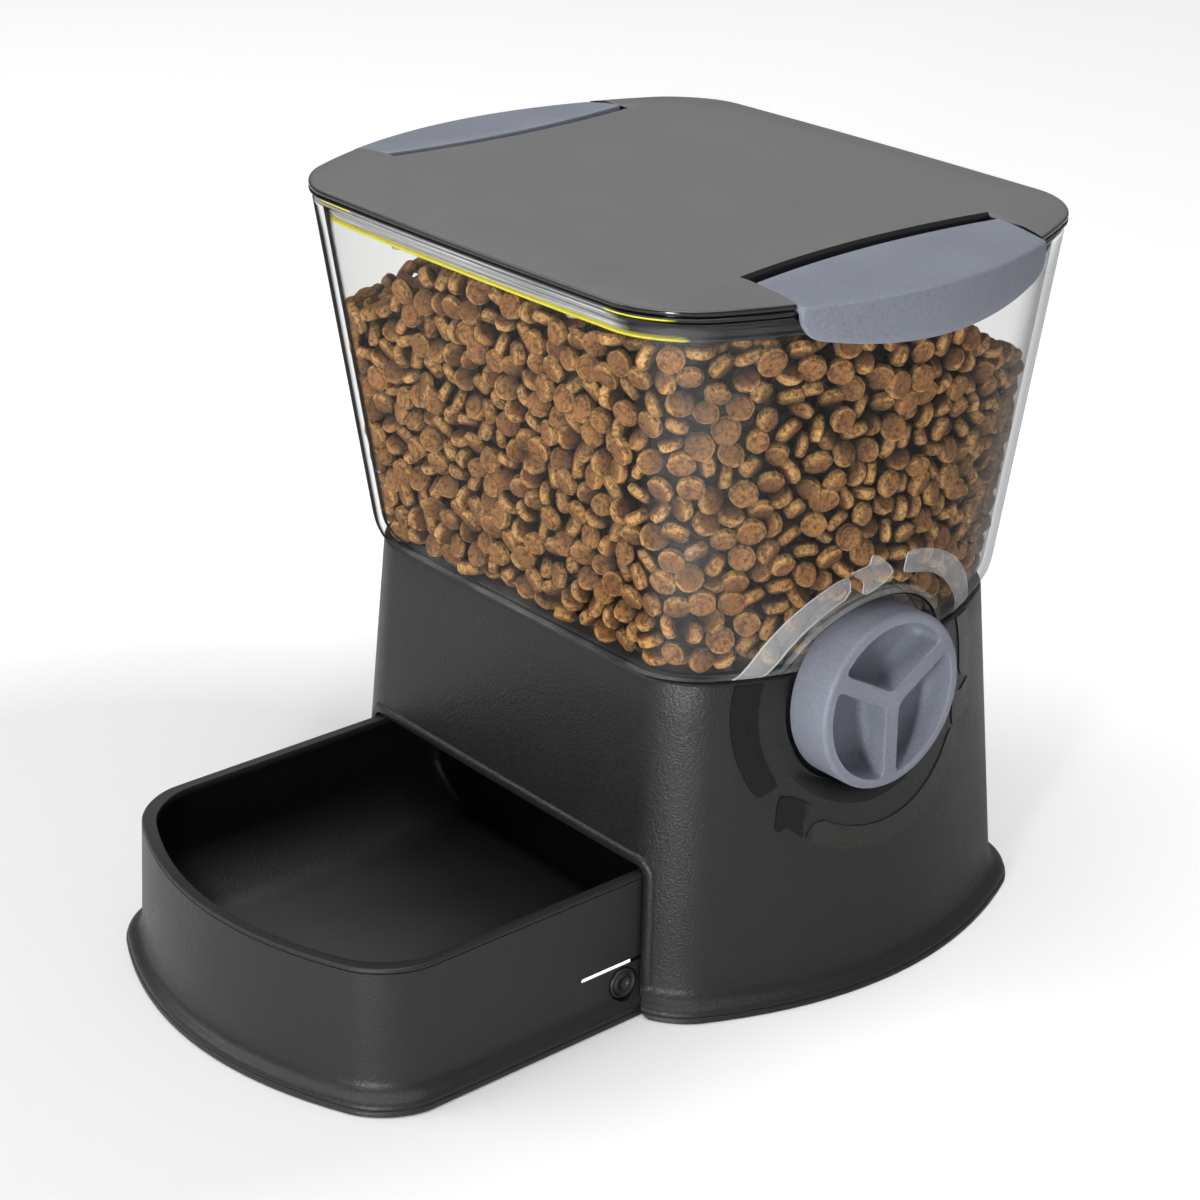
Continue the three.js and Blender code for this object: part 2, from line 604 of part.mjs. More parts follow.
function hopperShell() {
  const ledgeTop = TOWER_HEIGHT + SEAT + HOPPER_WALL;
  const lowZ = TOWER_HEIGHT - SPIGOT_DEPTH;
  const outside = hopperOutside(RIM_Z).map(hopperRing);
  const inside = [
    [HOPPER_WALL - RIM_EDGE, RIM_Z],
    [HOPPER_WALL, RIM_Z - RIM_EDGE],
    [HOPPER_WALL, ledgeTop + HOPPER_ROUND - HOPPER_WALL],
    [HOPPER_WALL + HOPPER_TUCK, ledgeTop],
    [HOPPER_LEDGE + HOPPER_TUCK, ledgeTop],
    [HOPPER_LEDGE + HOPPER_TUCK, TOWER_HEIGHT + SEAT],
  ].map(hopperRing);
  const spigot = [
    [SPIGOT_INSET + SPIGOT_WALL, TOWER_HEIGHT + HOPPER_WALL / 2],
    [SPIGOT_INSET + SPIGOT_WALL, lowZ],
    [SPIGOT_INSET, lowZ],
    [SPIGOT_INSET, TOWER_HEIGHT + HOPPER_WALL / 2],
  ].map(([inset, z]) => bowedRing(insetOutline(TOWER_TOP, inset), z));
  const arch = (grow, from) => {
    const radius = KNOB_RADIUS + HOPPER_POCKET_GAP + grow;
    return rod("x", radius, [KNOB_Y, KNOB_Z], from, LID_WIDEST, ROUND_STEPS);
  };
  const archWall = arch(HOPPER_WALL, POCKET_X - HOPPER_WALL).intersect(loft(outside));
  const lowFront = -CATCH_RIDGE.halfLength;
  const ridgeZ = RIM_Z - CATCH_RIDGE.below;
  const ridgeBand = block([-LID_WIDEST, lowFront, ridgeZ],
    [LID_WIDEST, -lowFront, ridgeZ + CATCH_RIDGE.height]);
  const ridge = loft([ridgeZ - OVERRUN, RIM_Z].map((z) => hopperRing([-CATCH_RIDGE.rise, z])))
    .intersect(ridgeBand)
    .subtract(loft([ridgeZ - OVERRUN * 2, RIM_Z + OVERRUN].map((z) => hopperRing([HOPPER_WALL / 2, z]))));
  const bores = join(HOUSING_SCREWS.map((place) => {
    const end = HOUSING_HEAD_Z + SCREW.length + SEAT;
    return rod("z", SCREW.shank + SEAT, place, TOWER_HEIGHT - OVERRUN, end);
  }));
  const bosses = join(HOUSING_SCREWS.map((place) => {
    return rod("z", SCREW.shank + HOPPER_WALL, place, TOWER_HEIGHT + SEAT, ledgeTop + HOUSING_BOSS_RISE);
  }));
  return join([loft([...outside, ...inside], true), loft(spigot, true), archWall, ridge, bosses])
    .subtract(arch(0, POCKET_X))
    .subtract(towerPocketRoom(TOWER_HEIGHT + SEAT))
    .subtract(bores);
}

// Funnel floor and trough under the hopper; the wheel turns in the trough.
function drumHousing() {
  const flange = insetOutline(TOWER_TOP, SPIGOT_INSET + SPIGOT_WALL + SEAT);
  const square = (grow) => ({
    halfWidth: TROUGH_HALF_LENGTH + grow,
    halfDepth: TROUGH_RADIUS + grow,
    frontBow: 0,
    sideBow: 0,
    corner: HOUSING_WALL,
  });
  const outer = loft([
    bowedRing(square(HOUSING_WALL), KNOB_Z - HOUSING_WALL, KNOB_Y),
    bowedRing(flange, FLANGE_TOP - HOUSING_FLANGE),
    bowedRing(flange, FLANGE_TOP),
  ]);
  const inner = loft([
    bowedRing(square(0), KNOB_Z, KNOB_Y),
    bowedRing(insetOutline(flange, HOPPER_LEDGE), FLANGE_TOP),
    bowedRing(insetOutline(flange, HOPPER_LEDGE), FLANGE_TOP + OVERRUN),
  ]);
  const axis = [KNOB_Y, KNOB_Z];
  const endX = TROUGH_HALF_LENGTH + HOUSING_WALL;
  const low = loft([
    bowedRing(square(0), TROUGH_BOTTOM - OVERRUN, KNOB_Y),
    bowedRing(square(0), KNOB_Z, KNOB_Y),
  ]);
  const trough = rod("x", TROUGH_RADIUS + HOUSING_WALL, axis, -endX, endX, ROUND_STEPS);
  const bowl = rod("x", TROUGH_RADIUS, axis, -TROUGH_HALF_LENGTH, TROUGH_HALF_LENGTH, ROUND_STEPS);
  const lowHalf = block([-endX, KNOB_Y - TROUGH_RADIUS - HOUSING_WALL, TROUGH_BOTTOM],
    [endX, KNOB_Y + TROUGH_RADIUS + HOUSING_WALL, KNOB_Z]);
  const outlet = block([-TROUGH_HALF_LENGTH, KNOB_Y - HOUSING_OUTLET, TROUGH_BOTTOM - OVERRUN],
    [TROUGH_HALF_LENGTH, KNOB_Y + HOUSING_OUTLET, KNOB_Z]);
  const boss = rod("x", BOSS_RADIUS, axis, BOSS_START_X, BOSS_END_X, ROUND_STEPS / 2);
  const shaftRoom = rod("x", BUSH_RADIUS + SEAT, axis, BOSS_START_X - SEAT, BOSS_END_X + OVERRUN,
    ROUND_STEPS / 2);
  const holes = join(HOUSING_SCREWS.flatMap((place) => [
    rod("z", SCREW.shank + SEAT, place, TROUGH_BOTTOM, TOWER_HEIGHT),
    rod("z", SCREW.head + SEAT, place, TROUGH_BOTTOM, HOUSING_HEAD_Z + SEAT),
  ]));
  const roomRadius = BUSH_FLANGE.radius + SLIP;
  const roomEnd = SHAFT_LEFT - SLIP;
  const hoodEnd = roomEnd - HOUSING_WALL;
  const hood = rod("x", roomRadius + HOOD_WALL, axis, hoodEnd, -TROUGH_HALF_LENGTH, ROUND_STEPS);
  const clipRoom = rod("x", roomRadius, axis, roomEnd, BOSS_START_X, ROUND_STEPS)
    .add(block([roomEnd, KNOB_Y - roomRadius, TROUGH_BOTTOM], [BOSS_START_X, KNOB_Y + roomRadius, KNOB_Z]));
  const bearing = boss.subtract(block([-TROUGH_HALF_LENGTH, -TOWER_FOOT.halfDepth, 0],
    [TROUGH_HALF_LENGTH, TOWER_FOOT.halfDepth, RIM_Z]));
  return outer
    .add(trough.intersect(lowHalf))
    .subtract(towerPocketRoom(TOWER_HEIGHT))
    .subtract(inner)
    .subtract(bowl)
    .subtract(outlet.intersect(low))
    .add(bearing)
    .add(hood)
    .subtract(clipRoom)
    .subtract(shaftRoom)
    .subtract(holes);
}

function shaftBush(side) {
  const end = side > 0 ? BOSS_END_X : -BOSS_START_X;
  const bore = SHAFT_RADIUS + SEAT;
  const face = end + SEAT;
  const profile = [
    [bore, end - BUSH_LENGTH],
    [BUSH_RADIUS, end - BUSH_LENGTH],
    [BUSH_RADIUS, face],
    [BUSH_FLANGE.radius, face],
    [BUSH_FLANGE.radius, face + BUSH_FLANGE.thick - SEAT],
    [bore, face + BUSH_FLANGE.thick - SEAT],
    [bore, end - BUSH_LENGTH],
  ];
  return mirrorX(turned("x", profile, [KNOB_Y, KNOB_Z], ROUND_STEPS / 2), side);
}

// Wheel, shaft and knob

function hexRod(grow, from, to) {
  return rod("x", SHAFT_RADIUS + grow, [KNOB_Y, KNOB_Z], from, to, HEX_STEPS);
}

function portionWheel() {
  const axis = [KNOB_Y, KNOB_Z];
  const hub = rod("x", WHEEL_HUB, axis, -WHEEL_HALF_LENGTH, WHEEL_HALF_LENGTH, ROUND_STEPS / 2);
  const paddles = [];
  for (let i = 0; i < WHEEL_PADDLES; i += 1) {
    const angle = (2 * Math.PI * (i + 1 / 2)) / WHEEL_PADDLES;
    const out = [Math.cos(angle), Math.sin(angle)];
    const across = [-out[1] * (WHEEL_PADDLE / 2), out[0] * (WHEEL_PADDLE / 2)];
    const corner = (r, s) => [KNOB_Y + out[0] * r + across[0] * s, KNOB_Z + out[1] * r + across[1] * s];
    const start = WHEEL_HUB / 2;
    const points = [corner(start, -1), corner(WHEEL_RADIUS, -1), corner(WHEEL_RADIUS, 1), corner(start, 1)];
    paddles.push(extrude(points, "x", -WHEEL_HALF_LENGTH, WHEEL_HALF_LENGTH));
  }
  return join([hub, ...paddles]).subtract(hexRod(SEAT, -TOWER_FOOT.halfWidth, TOWER_FOOT.halfWidth));
}

// One finger pocket of the knob: a third of a disc between two spokes.
function fingerPocket(index) {
  const turn = Math.PI / 6 + (2 * Math.PI * index) / KNOB_FINGERS;
  const third = (2 * Math.PI) / KNOB_FINGERS;
  const radius = KNOB_RADIUS - KNOB_RIM;
  const lean = Math.asin(KNOB_SPOKE / radius);
  const tip = KNOB_SPOKE / Math.sin(third / 2);
  const points = [[tip, turn + third / 2]];
  const steps = ROUND_STEPS / 4;
  for (let i = 0; i <= steps; i += 1) {
    points.push([radius, turn + lean + (third - 2 * lean) * (i / steps)]);
  }
  const shape = points.map(([r, angle]) => [KNOB_Y + r * Math.cos(angle), KNOB_Z + r * Math.sin(angle)]);
  return extrude(shape, "x", KNOB_FACE_X - KNOB_POCKET, KNOB_FACE_X + OVERRUN);
}

function dispensingKnob() {
  const half = KNOB_EDGE / 2;
  const profile = [
    [0, KNOB_BACK_X],
    [KNOB_RADIUS - half, KNOB_BACK_X],
    [KNOB_RADIUS, KNOB_BACK_X + half],
    [KNOB_RADIUS, KNOB_FACE_X - KNOB_EDGE],
    [KNOB_RADIUS - half / 2, KNOB_FACE_X - half / 2],
    [KNOB_RADIUS - KNOB_EDGE, KNOB_FACE_X],
    [0, KNOB_FACE_X],
  ];
  const pockets = [];
  for (let i = 0; i < KNOB_FINGERS; i += 1) pockets.push(fingerPocket(i));
  const bore = hexRod(SEAT, KNOB_BACK_X - OVERRUN, SHAFT_RIGHT + SEAT);
  return turned("x", profile, [KNOB_Y, KNOB_Z]).subtract(join(pockets)).subtract(bore);
}

function shaftClip() {
  const face = SHAFT_LEFT + CLIP.beyond;
  const bore = SHAFT_RADIUS + SEAT;
  const profile = [
    [bore, face], [CLIP.radius, face], [CLIP.radius, face + CLIP.thick - SEAT],
    [bore, face + CLIP.thick - SEAT], [bore, face],
  ];
  return turned("x", profile, [KNOB_Y, KNOB_Z], ROUND_STEPS / 2);
}

// Bowl

const BOWL_PADS = BOWL_PAD_Y.flatMap((y) => [[BOWL_PAD_X, y], [-BOWL_PAD_X, y]]);

// Points of the side slopes inside the bowl and where the hollow under them bends, as shares of the
// slope's run and drop.
const SLOPE_SHARES = [[0, 0], [0.1, 0.32], [0.45, 0.78], [0.8, 0.97], [1, 1]];
const LOW_SLOPE_SHARE = { run: 0.42, rise: 0.25 };
const SLOPE_DROP = BOWL_SLOPE.top - BOWL_FLOOR;
const LOW_BEND = {
  run: BOWL_SLOPE.inset * LOW_SLOPE_SHARE.run,
  z: BOWL_FLOOR + SLOPE_DROP * LOW_SLOPE_SHARE.rise - BOWL_WALL * 2,
};

// The inside of the bowl as [side inset, front inset, back inset, height], from the rim to the floor.
function bowlInside() {
  const back = BOWL_WALL;
  return [
    [BOWL_RIM_WIDTH, BOWL_RIM_WIDTH, back, BOWL_RIM_Z + OVERRUN],
    [BOWL_RIM_WIDTH, BOWL_RIM_WIDTH, back, BOWL_RIM_Z],
    [BOWL_WALL + SEAT, BOWL_WALL + SEAT, back, BOWL_RIM_Z - BOWL_RIM_DROP],
    ...SLOPE_SHARES.map(([run, fall]) => {
      const side = BOWL_WALL + SEAT + (BOWL_SLOPE.inset - BOWL_WALL) * run;
      return [side, BOWL_WALL + SEAT + (side - BOWL_WALL) / 2, back, BOWL_SLOPE.top - SLOPE_DROP * fall];
    }),
  ];
}

function bowlBody() {
  const outside = flarePoints().map(([out, z]) => {
    return bowlRing(bowlAt(z), z, -FOOT_FLARE * out, -FOOT_FLARE * out, 0);
  });
  outside.push(bowlRing(BOWL_RIM, BOWL_RIM_Z - RIM_EDGE), bowlRing(BOWL_RIM, BOWL_RIM_Z, RIM_EDGE));
  const inside = bowlInside().map(([side, front, back, z]) => bowlRing(bowlAt(z), z, side, front, back));
  const hollow = [
    [0, -OVERRUN],
    [0, BOWL_SLOPE.top - BOWL_WALL],
    [BOWL_WALL, BOWL_SLOPE.top - BOWL_WALL * 3],
    [LOW_BEND.run, LOW_BEND.z],
    [BOWL_SLOPE.inset, BOWL_FLOOR - BOWL_FLOOR_THICK],
  ];
  const underside = hollow.map(([run, z], i) => {
    const pastBack = -(BOWL_WALL + OVERRUN) * (hollow.length - i);
    return bowlRing(bowlAt(z), z, BOWL_WALL + run, BOWL_WALL + run / 2, pastBack);
  });
  const inFront = block([-BOWL_FOOT.halfWidth, BOWL_FRONT_Y, -OVERRUN * 2],
    [BOWL_FOOT.halfWidth, BOWL_BACK - BOWL_WALL, BOWL_RIM_Z]);
  const backGap = block(
    [-BOWL_RIM.halfWidth + BOWL_BACK_RIM, BOWL_BACK - BOWL_WALL - OVERRUN, BOWL_BACK_TOP],
    [BOWL_RIM.halfWidth - BOWL_BACK_RIM, BOWL_BACK + OVERRUN, BOWL_RIM_Z + OVERRUN],
  );
  const bosses = join(BOWL_PADS.map((place) => {
    return rod("z", BOWL_PAD.radius, place, FLOOR_GAP + SEAT, BOWL_FLOOR - BOWL_FLOOR_THICK / 2);
  }));
  const sockets = join(BOWL_PADS.map((place) => {
    return rod("z", BOWL_PAD.peg + SEAT, place, -OVERRUN, FLOOR_GAP + SEAT + BOWL_PAD.pegLength);
  }));
  const wallX = bowlAt(CATCH.low).halfWidth;
  const window = SIDES.map(([, side]) => {
    return mirrorX(block([wallX - BOWL_WALL - SEAT, CATCH.front - CATCH.gap, CATCH.low - CATCH.gap],
      [wallX + FOOT_FLARE + OVERRUN, CATCH.back + CATCH.gap, CATCH.high + CATCH.slit]), side);
  });
  return loft(outside)
    .subtract(loft(inside))
    .subtract(loft(underside).intersect(inFront))
    .add(bosses)
    .subtract(sockets)
    .subtract(backGap)
    .subtract(join(window));
}

// A press-in catch: a tongue of the bowl's side wall with a round button on it.
function bowlCatch(side) {
  const rings = [CATCH.low, FOOT_SHOULDER, CATCH.high].map((z) => {
    const x = bowlAt(z).halfWidth;
    const inner = x - CATCH.thick;
    return [[inner, CATCH.front, z], [x, CATCH.front, z], [x, CATCH.back, z], [inner, CATCH.back, z]];
  });
  const face = bowlAt(BUTTON.z).halfWidth;
  const centre = [BUTTON.y, BUTTON.z];
  const ring = rod("x", BUTTON.radius, centre, face - CATCH.thick, face + BUTTON.rise, ROUND_STEPS / 2);
  const groove = rod("x", BUTTON.inner + BUTTON.groove, centre, face, face + OVERRUN, ROUND_STEPS / 2);
  const disc = rod("x", BUTTON.inner, centre, face - CATCH.thick, face + BUTTON.rise, ROUND_STEPS / 2);
  return mirrorX(loft(rings).add(ring).subtract(groove).add(disc), side);
}

// Lid

function lidRing(inset, z) {
  return bowedRing(insetOutline(LID_OUTLINE, inset), z);
}

// A plan shape round one latch: a bowed inner edge, straight ends and everything outside.
function latchPlan(halfLength, innerX, bulge, outerX) {
  const points = [[outerX, -halfLength], [outerX, halfLength]];
  for (let i = 0; i <= LATCH_STEPS; i += 1) {
    const y = halfLength * (1 - (2 * i) / LATCH_STEPS);
    points.push([innerX - bulge * (1 - (y / halfLength) ** 2), y]);
  }
  return points;
}

const PAD_INNER_X = LID_WIDEST - LATCH_INNER;
const CUT_INNER_X = PAD_INNER_X - LATCH_CUT_GAP;
const CUT_HALF_LENGTH = LATCH_HALF_LENGTH + LATCH_END_GAP;
const WELL_FLOOR_Z = LATCH_PIN_Z - WELL_DEPTH;
const LATCH_FLOOR_Z = SKIRT_Z + LATCH_FLOOR;
const WELL_OUTER_X = LATCH_PIN_X + WELL_PAST_PIN;
const FRAME_EAR_Y = hopperAt(RIM_Z).halfDepth - HOPPER_WALL - SEAL_WEB - FRAME_WALL - FRAME_EAR + SLIP;
const LID_SCREWS = [1, -1].flatMap((end) => [
  [FRAME_EAR_X, end * FRAME_EAR_Y],
  [-FRAME_EAR_X, end * FRAME_EAR_Y],
]);

function lidCover() {
  const plate = loft([
    lidRing(LID_STEP, SKIRT_Z),
    lidRing(LID_STEP, LID_LOW_Z - SEAT),
    lidRing(LID_EDGE, LID_LOW_Z),
    lidRing(0, LID_LOW_Z + LID_EDGE),
    lidRing(LID_EDGE, LID_TOP_Z - LID_BORDER_DROP),
    lidRing(LID_SHOULDER.inset, LID_TOP_Z - LID_SHOULDER.drop),
    lidRing(LID_CROWN_INSET, LID_TOP_Z + LID_CROWN),
  ]);
  const roomTop = LID_TOP_Z - LID_SHELL;
  const room = loft([SKIRT_Z - OVERRUN, roomTop].map((z) => lidRing(LID_SKIRT, z)));
  const tray = (side, grow, low, high, outer) => {
    const plan = latchPlan(CUT_HALF_LENGTH + grow, CUT_INNER_X - grow, LATCH_BULGE, outer);
    return mirrorX(extrude(plan, "z", low, high), side);
  };
  const trayGrow = WELL_WALL + LATCH_PIN_BITE;
  const wellOuter = WELL_OUTER_X + WELL_WALL;
  const trays = SIDES.flatMap(([, side]) => [
    tray(side, trayGrow, SKIRT_Z, LID_TOP_Z, LID_WIDEST),
    tray(side, trayGrow, WELL_FLOOR_Z - WELL_WALL, LATCH_FLOOR_Z, wellOuter),
  ]);
  const cuts = SIDES.flatMap(([, side]) => [
    tray(side, 0, LATCH_FLOOR_Z, LID_TOP_Z + OVERRUN, LID_WIDEST + OVERRUN),
    tray(side, 0, WELL_FLOOR_Z, LID_TOP_Z + OVERRUN, WELL_OUTER_X),
  ]);
  const pinEnd = CUT_HALF_LENGTH + LATCH_PIN_BITE;
  const pinHoles = SIDES.map(([, side]) => {
    return rod("y", LATCH_PIN + SEAT, [side * LATCH_PIN_X, LATCH_PIN_Z], -pinEnd, pinEnd);
  });
  const posts = LID_SCREWS.map((place) => rod("z", FRAME_EAR, place, SKIRT_Z, roomTop + LID_SHELL / 2));
  const screwHoles = LID_SCREWS.map((place) => {
    return rod("z", SCREW.shank + SEAT, place, SKIRT_Z - OVERRUN, roomTop - SEAT);
  });
  const low = plate.intersect(join(trays.filter((part, i) => i % 2 === 0)));
  const deep = join(trays.filter((part, i) => i % 2 === 1));
  return plate
    .subtract(room)
    .add(low)
    .add(deep)
    .add(join(posts))
    .subtract(join(cuts))
    .subtract(join(pinHoles))
    .subtract(join(screwHoles));
}

// The ring under the plate that carries the seal and plugs the hopper's mouth.
function lidFrame() {
  const outer = HOPPER_WALL + SEAT + SEAL_LIP + SEAL_WEB + SEAT;
  const inner = outer + FRAME_WALL;
  const top = SKIRT_Z - SEAT;
  const bottom = RIM_Z - FRAME_DEPTH;
  const band = loft([[outer, bottom], [outer, top], [inner, top], [inner, bottom]].map(hopperRing), true);
  const ears = join(LID_SCREWS.map((place) => rod("z", FRAME_EAR, place, bottom, top)));
  const holes = join(LID_SCREWS.map((place) => {
    return rod("z", SCREW.shank + SEAT, place, bottom - OVERRUN, top + OVERRUN);
  }));
  return band.add(ears).subtract(holes);
}

// One gasket with two lips: the upper one lies on the hopper's rim, the lower one wipes its inner wall.
function lidSeal() {
  const lipOut = HOPPER_WALL + SEAT;
  const webOut = lipOut + SEAL_LIP;
  const webIn = webOut + SEAL_WEB;
  const low = RIM_Z - SEAL_LOW;
  const half = SEAL_LIP / 2;
  return loft([
    [webIn, low - SEAL_LIP],
    [webOut, low - SEAL_LIP],
    [lipOut, low - half],
    [lipOut, low + half],
    [webOut, low + SEAL_LIP],
    [webOut, RIM_Z + SEAT],
    [RIM_EDGE, RIM_Z + SEAT],
    [RIM_EDGE, RIM_Z + SEAT + SEAL_LIP],
    [webIn, RIM_Z + SEAT + SEAL_LIP],
  ].map(hopperRing), true);
}

// Latches

// Sections along a flap, closer together towards its rounded ends.
function latchStations(make) {
  const rings = [];
  for (let i = 0; i <= LATCH_STEPS; i += 1) {
    const share = Math.sin(((2 * i) / LATCH_STEPS - 1) * (Math.PI / 2));
    rings.push(make(share * LATCH_HALF_LENGTH, share));
  }
  return rings;
}

// A flap: a pad on the lid, a curtain over its edge, a knuckle round the pin and a hook for the rim.
function latch(side) {
  const padLow = LATCH_FLOOR_Z + LATCH_PAD_GAP;
  const edgeX = (y) => sideX(LID_OUTLINE, y) + LATCH_PROUD;
  const creaseZ = LID_LOW_Z + LATCH_CREASE / 2;
  const pad = loft(latchStations((y, share) => {
    const inX = PAD_INNER_X - LATCH_BULGE * (1 - share ** 2);
    const outX = edgeX(y);
    return [
      [inX, y, padLow],
      [inX, y, LATCH_TOP_Z],
      [outX - LATCH_CREASE, y, creaseZ],
      [outX - LATCH_CREASE / 3, y, creaseZ - LATCH_CREASE / 3],
      [outX - LATCH_CREASE / 3, y, padLow],
    ];
  }));
  const curtain = loft(latchStations((y, share) => {
    const outX = edgeX(y);
    const past = Math.max(0, Math.abs(y) - LATCH_HALF_LENGTH + LATCH_CORNER);
    const cornerLift = LATCH_CORNER - Math.sqrt(Math.max(0, LATCH_CORNER ** 2 - past ** 2));
    const foot = creaseZ - LATCH_DROP + LATCH_END_LIFT * share ** 2 + cornerLift;
    return [
      [outX - LATCH_WALL, y, foot],
      [outX - LATCH_WALL, y, creaseZ - LATCH_CREASE / 3],
      [outX - LATCH_CREASE / 3, y, creaseZ - LATCH_CREASE / 3],
      [outX, y, creaseZ - LATCH_CREASE],
      [outX, y, foot],
    ];
  }));
  const pin = [LATCH_PIN_X, LATCH_PIN_Z];
  const reach = LATCH_KNUCKLE_HALF_LENGTH;
  const knuckle = rod("y", LATCH_KNUCKLE, pin, -reach, reach);
  const bore = rod("y", LATCH_PIN + SEAT, pin, -LATCH_HALF_LENGTH - OVERRUN, LATCH_HALF_LENGTH + OVERRUN);
  const hookZ = LID_LOW_Z - LATCH_HOOK.below;
  const hookRings = [-LATCH_HOOK.halfLength, 0, LATCH_HOOK.halfLength].map((y) => {
    const x = edgeX(y) - LATCH_WALL;
    return [
      [x + LATCH_WALL / 2, y, hookZ - LATCH_HOOK.height],
      [x - LATCH_HOOK.reach, y, hookZ - LATCH_HOOK.height / 2],
      [x - LATCH_HOOK.reach, y, hookZ],
      [x + LATCH_WALL / 2, y, hookZ],
    ];
  });
  return mirrorX(join([pad, curtain, knuckle, loft(hookRings)]).subtract(bore), side);
}

// The whole feeder

const feeder = new THREE.Group();
const parts = [
  ["base_shell", baseShell(), BLACK],
  ["food_chute", foodChute(), BLACK],
  ["hopper_shell", hopperShell(), CLEAR],
  ["drum_housing", drumHousing(), BLACK],
  ["portion_wheel", portionWheel(), NATURAL],
  ["wheel_shaft", hexRod(0, SHAFT_LEFT, SHAFT_RIGHT), STEEL],
  ["dispensing_knob", dispensingKnob(), GREY_BLUE],
  ["shaft_clip", shaftClip(), STEEL],
  ["bowl", bowlBody(), BLACK],
  ["lid_cover", lidCover(), DARK_GREY],
  ["lid_frame", lidFrame(), BLACK],
  ["lid_seal", lidSeal(), YELLOW],
];
SIDES.forEach(([name, side]) => {
  const pinReach = CUT_HALF_LENGTH + LATCH_PIN_BITE - SEAT;
  const pin = rod("y", LATCH_PIN, [side * LATCH_PIN_X, LATCH_PIN_Z], -pinReach, pinReach);
  parts.push(
    [`shaft_bush_${name}`, shaftBush(side), NATURAL],
    [`bowl_catch_${name}`, bowlCatch(side), BLACK],
    [`latch_${name}`, latch(side), GREY_BLUE],
    [`latch_pin_${name}`, pin, STEEL],
  );
});
COLUMNS.forEach((place, i) => {
  parts.push(
    [`base_foot_${i + 1}`, footPad(BASE_FOOT, place), RUBBER],
    [`chute_screw_${i + 1}`, screw(place, DECK_TOP + SEAT, false), STEEL],
  );
});
BOWL_PADS.forEach((place, i) => parts.push([`bowl_foot_${i + 1}`, footPad(BOWL_PAD, place), RUBBER]));
HOUSING_SCREWS.forEach((place, i) => {
  parts.push([`housing_screw_${i + 1}`, screw(place, HOUSING_HEAD_Z, true), STEEL]);
});
LID_SCREWS.forEach((place, i) => {
  parts.push([`lid_screw_${i + 1}`, screw(place, RIM_Z - FRAME_DEPTH - SEAT, true), STEEL]);
});
parts.forEach(([name, body, finish]) => feeder.add(piece(name, body, finish)));
feeder.position.y = -CENTRE_Y;

export default feeder;
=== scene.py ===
"""Manual pet feeder: a clear hopper of dry food on a black tower, with a latched lid, a hand knob and a bowl.

Shapes are worked out in millimetres, +Z up, from the hopper's middle: the bowl lies towards -Y and the knob
towards +X. settle() brings each finished mesh into the frame, in metres.
"""

import math
import random
from collections import namedtuple

import bmesh
import bpy
import numpy as np
from mathutils import Matrix, Vector, kdtree


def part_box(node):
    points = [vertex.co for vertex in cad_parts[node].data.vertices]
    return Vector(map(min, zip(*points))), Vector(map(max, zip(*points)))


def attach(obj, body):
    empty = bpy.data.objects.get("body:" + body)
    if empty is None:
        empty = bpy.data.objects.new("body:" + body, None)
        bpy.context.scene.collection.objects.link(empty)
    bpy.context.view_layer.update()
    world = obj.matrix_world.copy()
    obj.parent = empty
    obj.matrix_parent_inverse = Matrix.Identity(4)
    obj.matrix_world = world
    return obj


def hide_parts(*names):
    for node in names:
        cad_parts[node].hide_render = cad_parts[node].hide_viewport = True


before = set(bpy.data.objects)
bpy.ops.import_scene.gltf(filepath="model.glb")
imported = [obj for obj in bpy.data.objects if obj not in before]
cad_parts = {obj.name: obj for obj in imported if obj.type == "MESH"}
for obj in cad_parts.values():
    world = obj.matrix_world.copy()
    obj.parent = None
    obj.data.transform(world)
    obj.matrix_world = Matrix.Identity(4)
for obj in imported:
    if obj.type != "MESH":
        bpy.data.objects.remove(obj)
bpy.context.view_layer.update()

MM = 0.001


def box_mm(node):
    low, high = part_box(node)
    return low / MM, high / MM


# Places read from the frame
HOPPER_LOW, HOPPER_HIGH = box_mm("hopper_shell")
CENTRE_Y = (HOPPER_LOW.y + HOPPER_HIGH.y) / 2
RIM_Z = HOPPER_HIGH.z
TOWER_LOW, TOWER_HIGH = box_mm("base_shell")
FLOOR_GAP = TOWER_LOW.z
TOWER_HEIGHT = TOWER_HIGH.z
HOPPER_HEIGHT = RIM_Z - TOWER_HEIGHT
KNOB_LOW, KNOB_HIGH = box_mm("dispensing_knob")
KNOB_Y = (KNOB_LOW.y + KNOB_HIGH.y) / 2 - CENTRE_Y
KNOB_Z = (KNOB_LOW.z + KNOB_HIGH.z) / 2
KNOB_RADIUS = (KNOB_HIGH.z - KNOB_LOW.z) / 2
KNOB_FACE_X = KNOB_HIGH.x
KNOB_BACK_X = KNOB_LOW.x
WHEEL_LOW, WHEEL_HIGH = box_mm("portion_wheel")
WHEEL_GAP = 1
WHEEL_REACH = (WHEEL_HIGH.z - WHEEL_LOW.z) / 2 + WHEEL_GAP
WHEEL_END = WHEEL_HIGH.x + WHEEL_GAP

